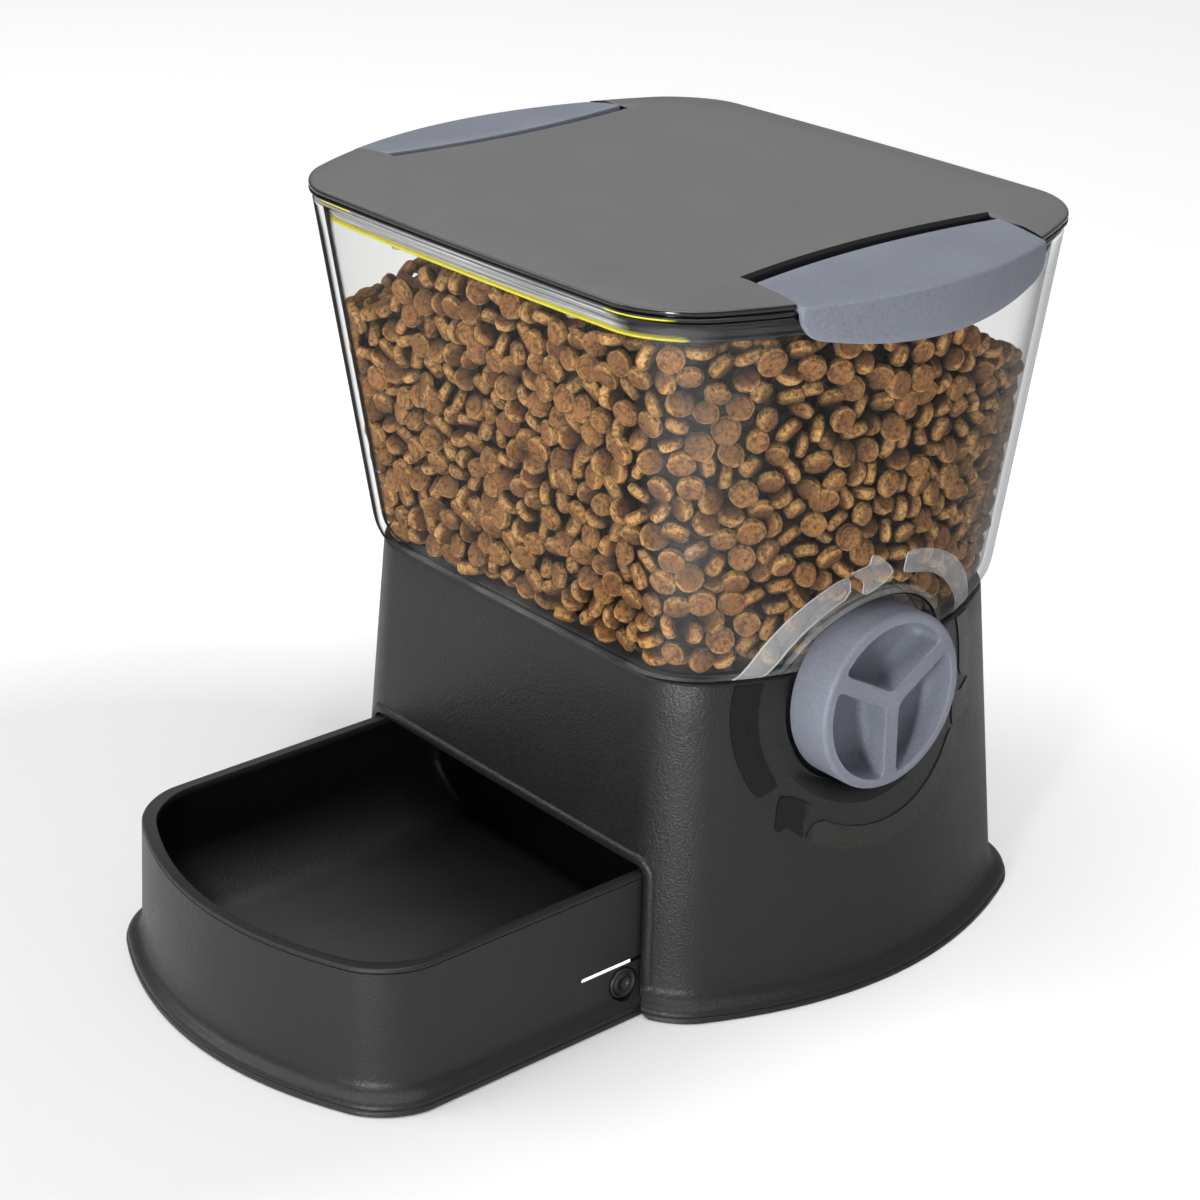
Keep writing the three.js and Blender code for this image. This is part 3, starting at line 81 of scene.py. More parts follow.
# Outlines seen from above
Outline = namedtuple("Outline", "half_width half_depth front_bow side_bow corner shift")
BowlOutline = namedtuple("BowlOutline", "half_width front sag corner")
TOWER_FOOT = Outline(103.1, 98.8, 0.5, 31, 16.3, -1.2)
TOWER_TOP = Outline(90.6, 84.3, 0.5, 30.4, 15.2, 0)
HOPPER_BASE = Outline(91.2, 87.5, 0.5, 30.4, 15.2, 0)
HOPPER_TOP = Outline(104.8, 104.7, 1.6, 33.6, 19.4, 0)
BOWL_RIM = BowlOutline(85.4, -203.6, 25, 16.3)
BOWL_FOOT = BowlOutline(93, -210.1, 27.6, 16.3)
CORNER_PULL = 0.56
FRONT_STEPS = 6
CORNER_STEPS = 10
SIDE_STEPS = 10

# Fits
SEAT = 0.3
SLIP = 0.8
OVERRUN = 3
SCREW_HOLE = 1.8

# Tower
TOWER_WALL = 2.8
FOOT_FLARE = 4.8
TOWER_EDGE = 1.2
SLOT_CORNER = 5
SLOT_TOP_GAP = 3
SLOT_DEPTH = 48
SLOT_FOOT_BEND = 6.5
BEAD_WIDTH = 4
BEAD_LOW = 8
COLUMN_RADIUS = 8
COLUMN_HOLE_DEPTH = 9
FOOT_PLUG, FOOT_PLUG_DEPTH = 3.3, 4
DECK_TOP = 76.4
DECK_THICK = 2.4
POCKET_X = KNOB_BACK_X - 1
TOWER_POCKET = KNOB_RADIUS + 2.3
POCKET_FILLET = 8.5
POCKET_WALL_LOW = 30
NOTCH_RADIUS = 9.8

# Hopper
HOPPER_WALL = 2.5
HOPPER_ROUND = 11
HOPPER_TUCK = 3.4
HOPPER_LEDGE = 12
BEND_STEPS, WALL_STEPS = 9, 13
FOOD_FLOOR = TOWER_HEIGHT + SEAT + HOPPER_WALL
SPIGOT_DEPTH = 7
SPIGOT_WALL = 2.2
SPIGOT_EASE = 0.4
RIM_EDGE = 0.5
HOPPER_ARCH = KNOB_RADIUS + 4.3
RIDGE_BELOW, RIDGE_HEIGHT, RIDGE_RISE, RIDGE_HALF_LENGTH = 10, 2, 0.6, 24

# Bowl
BOWL_RIM_Z = 55.4
BOWL_BACK = -58
BOWL_WALL = 2.6
BOWL_RIM_WIDTH = 4.5
BOWL_RIM_DROP = 4
BOWL_FLOOR = 9
BOWL_FLOOR_THICK = 2.5
BOWL_BACK_TOP = 41
BOWL_BACK_RIM = 13
BOWL_BACK_CORNER = 4
SLOPE_TOP = 28
SLOPE_INSET = 31
CATCH_FRONT, CATCH_BACK, CATCH_LOW, CATCH_HIGH = -121, -88.5, 4.8, 20.4
CATCH_SLIT = 1.9
CATCH_GAP = 0.12
BUTTON_ROOT = 1.6
DISH_GAP, DISH_DEPTH = 0.6, 0.9
CATCH_THICK = 2.2
BUTTON_Y, BUTTON_Z, BUTTON_RADIUS = -101.2, 13.4, 6.2
LINER_BACK = -97
LINER_HALF = 0.6
BOWL_BOSS, BOWL_PLUG, BOWL_PLUG_DEPTH = 6, 2.5, 3
BOWL_BOSS_X = 42
BOWL_BOSS_YS = (-185, -82)

# Lid and latches
LID_OUTLINE = Outline(105.7, 105.6, 1.6, 33.6, 19.4, 0)
LID_LOW_Z = RIM_Z + 4.4
LID_TOP_Z = LID_LOW_Z + 4
LID_CROWN = 1
SKIRT_Z = RIM_Z + 1.8
LID_SKIRT = 6.5
LIP_LOW = RIM_Z - 5.7
LIP_HIGH = RIM_Z + 2.3
LID_SHELL = 2.2
LID_POST = 4.2
LID_WIDEST = LID_OUTLINE.half_width + LID_OUTLINE.side_bow
LATCH_HALF_LENGTH = 60
LATCH_ROOM = LATCH_HALF_LENGTH + 0.5
LATCH_BULGE = 5.5
PAD_INNER_X = LID_WIDEST - 32
CUT_INNER_X = PAD_INNER_X - 6
LATCH_PROUD = 2.6
LATCH_WALL = 2.2
LATCH_DROP = 19
LATCH_END_LIFT = 8
LATCH_CORNER = 7
LATCH_TOP_Z = LID_TOP_Z + LID_CROWN / 2
LATCH_FLOOR_Z = SKIRT_Z + 1.2
LATCH_PIN_X = LID_WIDEST - 31.7
LATCH_PIN_Z = LATCH_TOP_Z - 5.5
LATCH_KNUCKLE = 3.1
LATCH_PIN = 1.5
LATCH_PIN_END = 62.3
LATCH_KNUCKLE_END = 45
HOOK_DROP = 15
WELL_FLOOR_Z = LATCH_PIN_Z - 5.7
WELL_OUTER_X = LATCH_PIN_X + 4.4

SIDES = (("right", 1), ("left", -1))


# Camera

LENS, SENSOR = 83.75, 36
CAMERA_YAW, CAMERA_PITCH = math.radians(50.42), math.radians(24.25)
CAMERA_PLACE = (0.77349, -0.61413, 0.57531)


def make_camera():
    data = bpy.data.cameras.new("camera")
    data.lens = LENS
    data.sensor_width = SENSOR
    data.sensor_fit = "AUTO"
    camera = bpy.data.objects.new("camera", data)
    bpy.context.scene.collection.objects.link(camera)
    level = math.cos(CAMERA_PITCH)
    aim = Vector((-math.sin(CAMERA_YAW) * level, math.cos(CAMERA_YAW) * level, -math.sin(CAMERA_PITCH)))
    camera.location = CAMERA_PLACE
    camera.rotation_euler = aim.to_track_quat("-Z", "Y").to_euler()
    bpy.context.scene.camera = camera


# Mesh helpers


def between(low, high, share):
    return type(low)(*(a + (b - a) * share for a, b in zip(low, high)))


def inset(shape, by):
    return shape._replace(half_width=shape.half_width - by, half_depth=shape.half_depth - by)


def side_x(shape, y):
    return shape.half_width + shape.side_bow * (1 - ((y - shape.shift) / shape.half_depth) ** 2)


def smooth_step(low, high, value):
    share = min(1, max(0, (value - low) / (high - low)))
    return share * share * (3 - 2 * share)


def corner_curve(start, tip, end, steps=CORNER_STEPS):
    """Points of a blended corner from start to end, both ends in."""
    start, tip, end = Vector(start), Vector(tip), Vector(end)
    first, second = start.lerp(tip, CORNER_PULL), end.lerp(tip, CORNER_PULL)
    points = []
    for i in range(steps + 1):
        t = i / steps
        u = 1 - t
        place = start * u**3 + first * (3 * u * u * t) + second * (3 * u * t * t) + end * t**3
        points.append((place.x, place.y))
    return points


def bowed_outline(shape):
    """One turn of an outline with bowed sides and blended corners, alike in all four quarters."""
    shift, shape = shape.shift, shape._replace(shift=0)
    front_end = shape.half_width - shape.corner
    side_end = shape.half_depth - shape.corner

    def front_y(x):
        return -shape.half_depth - shape.front_bow * (1 - (x / shape.half_width) ** 2)

    steps = [front_end * i / FRONT_STEPS for i in range(FRONT_STEPS)]
    quarter = [(x, front_y(x)) for x in steps]
    tip = (shape.half_width, -shape.half_depth)
    quarter += corner_curve((front_end, front_y(front_end)), tip, (side_x(shape, side_end), -side_end))
    for i in range(1, SIDE_STEPS + 1):
        y = -side_end * (1 - i / SIDE_STEPS)
        quarter.append((side_x(shape, y), y))
    half = [(x, y + shift) for x, y in quarter] + [(x, shift - y) for x, y in reversed(quarter[:-1])]
    return half + [(-x, y) for x, y in reversed(half[1:-1])]


def bowl_outline(shape, side=0, front=None, back=0):
    """One turn of the bowl's outline, drawn in by its side, front and back insets."""
    front = side if front is None else front
    half_width = shape.half_width - side

    def front_y(x):
        return shape.front + front - shape.sag * (1 - (x / half_width) ** 2)

    front_end = half_width - shape.corner
    half = [(front_end * i / SIDE_STEPS, front_y(front_end * i / SIDE_STEPS)) for i in range(SIDE_STEPS)]
    tip = (half_width, shape.front + front)
    half += corner_curve((front_end, front_y(front_end)), tip, (half_width, tip[1] + shape.corner))
    back_y = BOWL_BACK - back
    straight = half[-1][1]
    half += [(half_width, straight + (back_y - BOWL_BACK_CORNER - straight) * i / 6) for i in range(1, 6)]
    half += corner_curve((half_width, back_y - BOWL_BACK_CORNER), (half_width, back_y),
                         (half_width - BOWL_BACK_CORNER, back_y), 4)
    half += [((half_width - BOWL_BACK_CORNER) * (1 - i / 4), back_y) for i in range(1, 5)]
    return half + [(-x, y) for x, y in reversed(half[1:-1])]


def at_height(points, z):
    return [(x, y, z) for x, y in points]


def loft(rings, closed=False):
    """A skin through rings of points, capped at its ends, or closed on itself like a tyre."""
    bm = bmesh.new()
    ring = bmesh.ops.create_circle(bm, segments=len(rings[0]), radius=1)["verts"]
    for vert, place in zip(ring, rings[0]):
        vert.co = place
    first = edges = list(bm.edges)
    for places in rings[1:]:
        made = bmesh.ops.extrude_edge_only(bm, edges=edges)["geom"]
        fresh = {v for v in made if isinstance(v, bmesh.types.BMVert)}
        edges = [e for e in made if isinstance(e, bmesh.types.BMEdge)]
        edges = [e for e in edges if e.verts[0] in fresh and e.verts[1] in fresh]
        ring = [next(e.other_vert(v) for e in v.link_edges if e.other_vert(v) in fresh) for v in ring]
        for vert, place in zip(ring, places):
            vert.co = place
    if closed:
        bmesh.ops.bridge_loops(bm, edges=first + edges)
    else:
        bmesh.ops.contextual_create(bm, geom=first)
        bmesh.ops.contextual_create(bm, geom=edges)
    bmesh.ops.recalc_face_normals(bm, faces=bm.faces)
    return bm


def on_axis(axis, across, up, along):
    """The place whose two outline values and value along an axis are given."""
    return {"x": (along, across, up), "y": (across, along, up), "z": (across, up, along)}[axis]


def prism(points, axis, low, high):
    return loft([[on_axis(axis, a, b, end) for a, b in points] for end in (low, high)])


def arc(centre, radius, start, end, steps):
    """Points of an arc, with its angles in degrees."""
    angles = [math.radians(start + (end - start) * i / steps) for i in range(steps + 1)]
    return [(centre[0] + radius * math.cos(a), centre[1] + radius * math.sin(a)) for a in angles]


def rod(axis, radius, centre, low, high, sides=32):
    return prism(arc(centre, radius, 0, 360, sides)[:-1], axis, low, high)


def turned(profile, centre, sides):
    """A round piece about the X direction: the profile's points are (radius, x)."""
    bm = bmesh.new()
    verts = [bm.verts.new((x, 0, radius)) for radius, x in profile]
    edges = [bm.edges.new(pair) for pair in zip(verts, verts[1:])]
    bmesh.ops.spin(bm, geom=verts + edges, cent=(0, 0, 0), axis=(1, 0, 0), angle=math.tau, steps=sides,
                   use_merge=True)
    bmesh.ops.remove_doubles(bm, verts=bm.verts, dist=0.001)
    bmesh.ops.translate(bm, verts=bm.verts, vec=(0, *centre))
    bmesh.ops.recalc_face_normals(bm, faces=bm.faces)
    return bm


def mirrored(bm, side):
    if side < 0:
        bmesh.ops.scale(bm, verts=bm.verts, vec=(-1, 1, 1))
        bmesh.ops.recalc_face_normals(bm, faces=bm.faces)
    return bm


def workpiece(bm):
    mesh = bpy.data.meshes.new("work")
    bm.to_mesh(mesh)
    bm.free()
    made = bpy.data.objects.new("work", mesh)
    bpy.context.scene.collection.objects.link(made)
    return made


def combine(body, tools, way):
    """body joined with, cut by or kept inside other closed shapes, one after the other."""
    work = workpiece(body)
    helpers = [workpiece(tool) for tool in tools]
    for helper in helpers:
        step = work.modifiers.new("step", "BOOLEAN")
        step.operation = way
        step.solver = "EXACT"
        step.object = helper
    bpy.context.view_layer.update()
    seen = work.evaluated_get(bpy.context.evaluated_depsgraph_get())
    made = bmesh.new()
    made.from_mesh(seen.to_mesh())
    seen.to_mesh_clear()
    for used in [work, *helpers]:
        mesh = used.data
        bpy.data.objects.remove(used)
        bpy.data.meshes.remove(mesh)
    bmesh.ops.remove_doubles(made, verts=made.verts, dist=0.004)
    return made


def joined(body, *tools):
    return combine(body, tools, "UNION")


def cut(body, *tools):
    return combine(body, tools, "DIFFERENCE")


def kept(body, *tools):
    return combine(body, tools, "INTERSECT")


def settle(bm, name, body, finish, stands_for=(), sharp=38):
    """Makes a finished shape a piece of the frame: in metres, smooth up to its sharp edges, and riding."""
    bmesh.ops.scale(bm, verts=bm.verts, vec=(MM, MM, MM))
    bmesh.ops.translate(bm, verts=bm.verts, vec=(0, CENTRE_Y * MM, 0))
    mesh = bpy.data.meshes.new(name)
    bm.to_mesh(mesh)
    bm.free()
    mesh.shade_smooth()
    mesh.set_sharp_from_angle(angle=math.radians(sharp))
    mesh.materials.append(finish)
    made = bpy.data.objects.new(name, mesh)
    bpy.context.scene.collection.objects.link(made)
    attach(made, body)
    if stands_for:
        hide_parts(*stands_for)
    return made


# Finishes


def add_node(tree, kind, inputs=None, **settings):
    made = tree.nodes.new(kind)
    for name, value in settings.items():
        setattr(made, name, value)
    for name, value in (inputs or {}).items():
        if isinstance(value, bpy.types.NodeSocket):
            tree.links.new(value, made.inputs[name])
        else:
            made.inputs[name].default_value = value
    return made


def new_finish(name):
    finish = bpy.data.materials.new(name)
    finish.use_nodes = True
    tree = finish.node_tree
    tree.nodes.clear()
    place = add_node(tree, "ShaderNodeTexCoord").outputs["Object"]
    return finish, tree, place


def cloud(tree, place, scale, detail, roughness=0.55):
    """Soft random patches, scale per metre."""
    inputs = {"Vector": place, "Scale": scale, "Detail": detail, "Roughness": roughness}
    return add_node(tree, "ShaderNodeTexNoise", inputs).outputs["Fac"]


def spread(tree, value, low, high, from_low=0.3, from_high=0.7):
    """Goes from low to high while the value goes from from_low to from_high."""
    inputs = {"Value": value, "From Min": from_low, "From Max": from_high, "To Min": low, "To Max": high}
    return add_node(tree, "ShaderNodeMapRange", inputs).outputs["Result"]


def tint(tree, share, low, high):
    """A colour part of the way between two."""
    made = add_node(tree, "ShaderNodeMix", data_type="RGBA")
    if isinstance(share, bpy.types.NodeSocket):
        tree.links.new(share, made.inputs["Factor"])
    else:
        made.inputs["Factor"].default_value = share
    for socket, value in ((made.inputs[6], low), (made.inputs[7], high)):
        if isinstance(value, bpy.types.NodeSocket):
            tree.links.new(value, socket)
        else:
            socket.default_value = (*value, 1)
    return made.outputs[2]


def edges_worn(tree):
    """1 on convex edges, 0 on open faces."""
    point = add_node(tree, "ShaderNodeNewGeometry").outputs["Pointiness"]
    return spread(tree, point, 0, 1, 0.52, 0.62)


def relief(tree, height, strength, depth):
    inputs = {"Height": height, "Strength": strength, "Distance": depth}
    return add_node(tree, "ShaderNodeBump", inputs).outputs["Normal"]


def show(tree, shader):
    add_node(tree, "ShaderNodeOutputMaterial", {"Surface": shader})


def math_node(tree, operation, *values):
    return add_node(tree, "ShaderNodeMath", dict(enumerate(values)), operation=operation).outputs[0]


def vector_node(tree, operation, *values):
    return add_node(tree, "ShaderNodeVectorMath", dict(enumerate(values)), operation=operation)


def product(tree, first, second):
    return math_node(tree, "MULTIPLY", first, second)


def either(tree, first, second):
    return math_node(tree, "MAXIMUM", first, second)


def from_axis(tree, place, y, z):
    """The way from a line along X through a place in mm, and how far off the line that is in metres."""
    off = vector_node(tree, "SUBTRACT", place, (0, (CENTRE_Y + y) * MM, z * MM)).outputs[0]
    flat = vector_node(tree, "MULTIPLY", off, (0, 1, 1)).outputs[0]
    return off, vector_node(tree, "LENGTH", flat).outputs["Value"]


def own_normal(tree):
    """The surface's direction in the piece's own space, and the same in its three parts."""
    normal = tree.nodes.new("ShaderNodeTexCoord").outputs["Normal"]
    return normal, add_node(tree, "ShaderNodeSeparateXYZ", {"Vector": normal})


def plastic_skin(tree, place, colour, roughness, grain_scale, wear):
    """Colour, roughness and grain height of moulded plastic with uneven gloss and paler worn edges."""
    fine = cloud(tree, place, grain_scale, 2.0)
    broad = cloud(tree, place, 28, 4.0)
    pale = tuple(min(1, c * 1.3 + 0.004) for c in colour)
    deep = tuple(c * 0.8 for c in colour)
    body = tint(tree, spread(tree, broad, 0, 1), deep, colour)
    body = tint(tree, spread(tree, fine, 0, 0.55), body, pale)
    worn_colour = tuple(min(1, c * 1.8 + 0.012) for c in colour)
    body = tint(tree, product(tree, edges_worn(tree), wear), body, worn_colour)
    rough = math_node(tree, "ADD", spread(tree, fine, roughness - 0.05, roughness + 0.07),
                      spread(tree, broad, -0.04, 0.04))
    return body, rough, fine


def moulded_plastic(name, colour, roughness, grain, grain_scale=1500, wear=0.35, gloss=0.5, glow=0.0):
    """Plain moulded plastic; grain is the depth of its texture in metres."""
    finish, tree, place = new_finish(name)
    body, rough, fine = plastic_skin(tree, place, colour, roughness, grain_scale, wear)
    shader = add_node(tree, "ShaderNodeBsdfPrincipled", {
        "Base Color": body,
        "Roughness": rough,
        "Specular IOR Level": gloss,
        "Emission Color": (1, 1, 1, 1),
        "Emission Strength": glow,
        "Normal": relief(tree, fine, 0.6, grain),
    })
    show(tree, shader.outputs[0])
    return finish


def height_band(tree, place, low, high, soft=0.25):
    """1 between two heights in mm, 0 outside them."""
    z = add_node(tree, "ShaderNodeSeparateXYZ", {"Vector": place}).outputs["Z"]
    above = spread(tree, z, 0, 1, (low - soft) * MM, (low + soft) * MM)
    below = spread(tree, z, 1, 0, (high - soft) * MM, (high + soft) * MM)
    return product(tree, above, below)


def axis_mask(tree, place, axis, low, high):
    """Goes from 0 to 1 between two places in mm along an axis, or back down where high is below low."""
    value = add_node(tree, "ShaderNodeSeparateXYZ", {"Vector": place}).outputs[axis]
    ends = (0, 1) if low < high else (1, 0)
    return spread(tree, value, *ends, min(low, high) * MM, max(low, high) * MM)


def two_tone_plastic(name, colour, roughness, mask_of, other_colour, other_roughness,
                     grain=0.00003, wear=0.12, gloss=0.5, other_gloss=0.5):
    """Moulded plastic with a second colour and gloss wherever the mask is 1."""
    finish, tree, place = new_finish(name)
    body, rough, fine = plastic_skin(tree, place, colour, roughness, 1500, wear)
    other_body, other_rough, _ = plastic_skin(tree, place, other_colour, other_roughness, 700, 0.1)
    mask = mask_of(tree, place)
    both_rough = add_node(tree, "ShaderNodeMix", {"Factor": mask}, data_type="FLOAT")
    tree.links.new(rough, both_rough.inputs[2])
    tree.links.new(other_rough, both_rough.inputs[3])
    shader = add_node(tree, "ShaderNodeBsdfPrincipled", {
        "Base Color": tint(tree, mask, body, other_body),
        "Roughness": both_rough.outputs[0],
        "Specular IOR Level": gloss if gloss == other_gloss else spread(tree, mask, gloss, other_gloss, 0, 1),
        "Normal": relief(tree, product(tree, fine, spread(tree, mask, 1, 0.15, 0, 1)), 0.6, grain),
    })
    show(tree, shader.outputs[0])
    return finish


def lid_sides(tree, place):
    """1 on the lid's edges and in its latch recesses, 0 on its satin top."""
    up = own_normal(tree)[1].outputs["Z"]
    top = product(tree, spread(tree, up, 0, 1, 0.6, 0.75),
                  height_band(tree, place, LID_LOW_Z + 2, LID_TOP_Z + 9))
    return spread(tree, top, 1, 0, 0, 1)


def bowl_plastic(name):
    """The bowl's black, with painted light and shade: lighter on the floor's front as painted light, darker
    on the left wall's inside and at the back as painted shade, and a painted highlight on the rim's left end."""
    finish, tree, place = new_finish(name)
    body, rough, fine = plastic_skin(tree, place, BLACK_BASE, 0.42, 1000, 0.35)
    # A lighter colour on the floor's front: painted light where the lamps would reach the floor
    lit_floor_colour, _, _ = plastic_skin(tree, place, (0.05, 0.05, 0.05), 0.5, 1000, 0)
    facing = own_normal(tree)[1]
    floor = product(tree, spread(tree, facing.outputs["Z"], 0, 1, 0.93, 0.99),
                    height_band(tree, place, BOWL_FLOOR - 1, BOWL_FLOOR + 4))
    floor = product(tree, floor, axis_mask(tree, place, "Y", CENTRE_Y - 95, CENTRE_Y - 175))
    body = tint(tree, floor, body, lit_floor_colour)
    # Darker on the left wall's inside and at the back: painted shade
    left = product(tree, spread(tree, facing.outputs["X"], 0, 0.6, 0.35, 0.8),
                   height_band(tree, place, BOWL_FLOOR + 1, BOWL_RIM_Z - 2, 1))
    left = product(tree, left, axis_mask(tree, place, "X", -40, -55))
    back = axis_mask(tree, place, "Y", CENTRE_Y + BOWL_BACK - 9, CENTRE_Y + BOWL_BACK - 3)
    painted_shade = either(tree, left, back)
    # Paler on the rim's left end: a painted highlight
    rim = product(tree, spread(tree, facing.outputs["Z"], 0, 1, 0.35, 0.85),
                  height_band(tree, place, BOWL_RIM_Z - 30, BOWL_RIM_Z + 1, 1))
    rim = product(tree, rim, axis_mask(tree, place, "X", -20, -75))
    body = tint(tree, product(tree, rim, 0.7), body, (0.045, 0.045, 0.046))
    shader = add_node(tree, "ShaderNodeBsdfPrincipled", {
        "Base Color": tint(tree, painted_shade, body, (0.001, 0.001, 0.001)),
        "Roughness": rough,
        "Specular IOR Level": spread(tree, painted_shade, 0.42, 0.1, 0, 1),
        "Normal": relief(tree, fine, 0.6, 0.0003),
    })
    show(tree, shader.outputs[0])
    return finish


def marks_painted_lit(tree, place):
    """1 on the direction marks behind the first arrow head, which are painted lighter as if they caught more
    light.
    """
    return axis_mask(tree, place, "Y", CENTRE_Y - 40, CENTRE_Y - 36)


def button_face(tree, place):
    """1 on a catch's round button."""
    away = from_axis(tree, place, BUTTON_Y, BUTTON_Z)[1]
    return spread(tree, away, 1, 0, (BUTTON_RADIUS - 0.1) * MM, (BUTTON_RADIUS + 0.1) * MM)


def silicone_seal(name):
    """Yellow lips that show at the hopper's mouth, and between them a black web with a painted pale, streaky
    reflection along the front.
    """
    finish, tree, place = new_finish(name)
    yellow, rough, fine = plastic_skin(tree, place, (0.84, 0.74, 0.03), 0.4, 1500, 0.1)
    front_end = CENTRE_Y - 91
    seen = either(tree, axis_mask(tree, place, "X", 104, 101),
                  axis_mask(tree, place, "Y", front_end + 2, front_end))
    lower = product(tree, height_band(tree, place, LIP_LOW - 1.2, LIP_LOW + 0.75, 0.1), seen)
    corners = either(tree, axis_mask(tree, place, "X", -67, -69), axis_mask(tree, place, "X", 80, 82))
    corners = product(tree, corners, axis_mask(tree, place, "Y", front_end - 4, front_end - 7))
    upper = product(tree, height_band(tree, place, LIP_HIGH - 0.45, LIP_HIGH + 1.5, 0.1), corners)
    # The pale streaks on the web's front run are a painted reflection of the bright room
    reflection_place = add_node(tree, "ShaderNodeMapping", {"Vector": place, "Scale": (9, 9, 900)}).outputs[0]
    reflection_streaks = spread(tree, cloud(tree, reflection_place, 1.0, 3.0), 0, 1, 0.35, 0.6)
    web = tint(tree, reflection_streaks, (0.12, 0.12, 0.125), (0.6, 0.6, 0.61))
    front = product(tree, axis_mask(tree, place, "X", 88, 80),
                    axis_mask(tree, place, "Y", front_end + 6, front_end - 6))
    web = tint(tree, front, (0.006, 0.006, 0.006), web)
    lips = either(tree, lower, upper)
    shader = add_node(tree, "ShaderNodeBsdfPrincipled", {
        "Base Color": tint(tree, lips, web, yellow),
        "Roughness": spread(tree, lips, 0.14, 0.42, 0, 1),
        "Normal": relief(tree, fine, 0.5, 0.00002),
    })
    show(tree, shader.outputs[0])
    return finish


def clear_plastic(name, haze, patchy=1.2, outline=0.0):
    """Clear plastic: it mirrors more at a slant, is hazy at its corners, and has painted light and shade at
    its turned edges, over the knob's arch and along its foot.
    """
    finish, tree, place = new_finish(name)
    smudge = cloud(tree, place, 38, 4.0)
    facing = add_node(tree, "ShaderNodeLayerWeight", {"Blend": 0.5}).outputs["Facing"]
    left = axis_mask(tree, place, "X", -55, -75)
    normal, shape = own_normal(tree)
    off, away = from_axis(tree, place, KNOB_Y, KNOB_Z)
    # The outer skin's directions point away from the upright line through the hopper
    reach = vector_node(tree, "MULTIPLY", off, (1, 1, 0)).outputs[0]
    outward = vector_node(tree, "DOT_PRODUCT", reach, normal).outputs["Value"]
    skin = spread(tree, outward, 0, 1, -0.004, 0.004)
    # The arch over the knob: a painted shadow line at its mouth and a milky band round it, a painted
    # highlight of its cut edge
    beside = axis_mask(tree, place, "X", POCKET_X - 8, POCKET_X - 6)
    mouth = product(tree, spread(tree, away, 1, 0, (HOPPER_ARCH + 0.7) * MM, (HOPPER_ARCH + 0.8) * MM),
                    spread(tree, away, 0, 1, (HOPPER_ARCH + 0.02) * MM, (HOPPER_ARCH + 0.06) * MM))
    mouth = product(tree, mouth, beside)
    band = spread(tree, away, 0.13, 0, (HOPPER_ARCH + 3) * MM, (HOPPER_ARCH + 3.6) * MM)
    arch = product(tree, product(tree, band, beside), spread(tree, mouth, 1, 0, 0, 1))
    # The turned edges' colour is painted light and shade in place of refraction: dark on the left, pale on
    # the right
    edge = tint(tree, left, (0.5, 0.51, 0.52), (0.012, 0.012, 0.012))
    through = tint(tree, spread(tree, facing, 0, 1, 0.35, 0.9), (0.945, 0.945, 0.94), (0.87, 0.87, 0.875))
    turned_away = math_node(tree, "ADD", facing, product(tree, left, 0.08))
    through = tint(tree, product(tree, spread(tree, turned_away, 0, 1, 0.7, 0.82), skin), through, edge)
    through = tint(tree, mouth, through, (0.02, 0.02, 0.02))
    clear = add_node(tree, "ShaderNodeBsdfTransparent", {"Color": through})
    mirror = add_node(tree, "ShaderNodeBsdfGlossy", {"Color": (0.9, 0.9, 0.9, 1), "Roughness": 0.07})
    slant = product(tree, math_node(tree, "POWER", facing, 6.0), spread(tree, left, 0.3, 0.05, 0, 1))
    glass = add_node(tree, "ShaderNodeMixShader", {"Fac": math_node(tree, "ADD", slant, 0.008)})
    tree.links.new(clear.outputs[0], glass.inputs[1])
    tree.links.new(mirror.outputs[0], glass.inputs[2])
    turn = math_node(tree, "ABSOLUTE", product(tree, shape.outputs["X"], shape.outputs["Y"]))
    haze_and_highlights = product(tree, spread(tree, turn, haze, haze + 0.028, 0.3, 0.5),
                   spread(tree, smudge, 1 - patchy / 2, 1 + patchy / 2))
    # Faint pale glints along the hopper's foot: a painted highlight
    foot = product(tree, axis_mask(tree, place, "Z", FOOD_FLOOR + 3, TOWER_HEIGHT + 1),
                   spread(tree, smudge, 0, 0.2))
    haze_and_highlights = either(tree, either(tree, haze_and_highlights, foot), arch)
    across = math_node(tree, "ABSOLUTE", shape.outputs["X"])
    haze_and_highlights = either(tree, haze_and_highlights, spread(tree, across, outline, 0, 0.35, 0.7))
    milk = add_node(tree, "ShaderNodeBsdfDiffuse", {"Color": (0.85, 0.86, 0.87, 1)})
    shader = add_node(tree, "ShaderNodeMixShader", {"Fac": haze_and_highlights})
    tree.links.new(glass.outputs[0], shader.inputs[1])
    tree.links.new(milk.outputs[0], shader.inputs[2])
    show(tree, shader.outputs[0])
    return finish


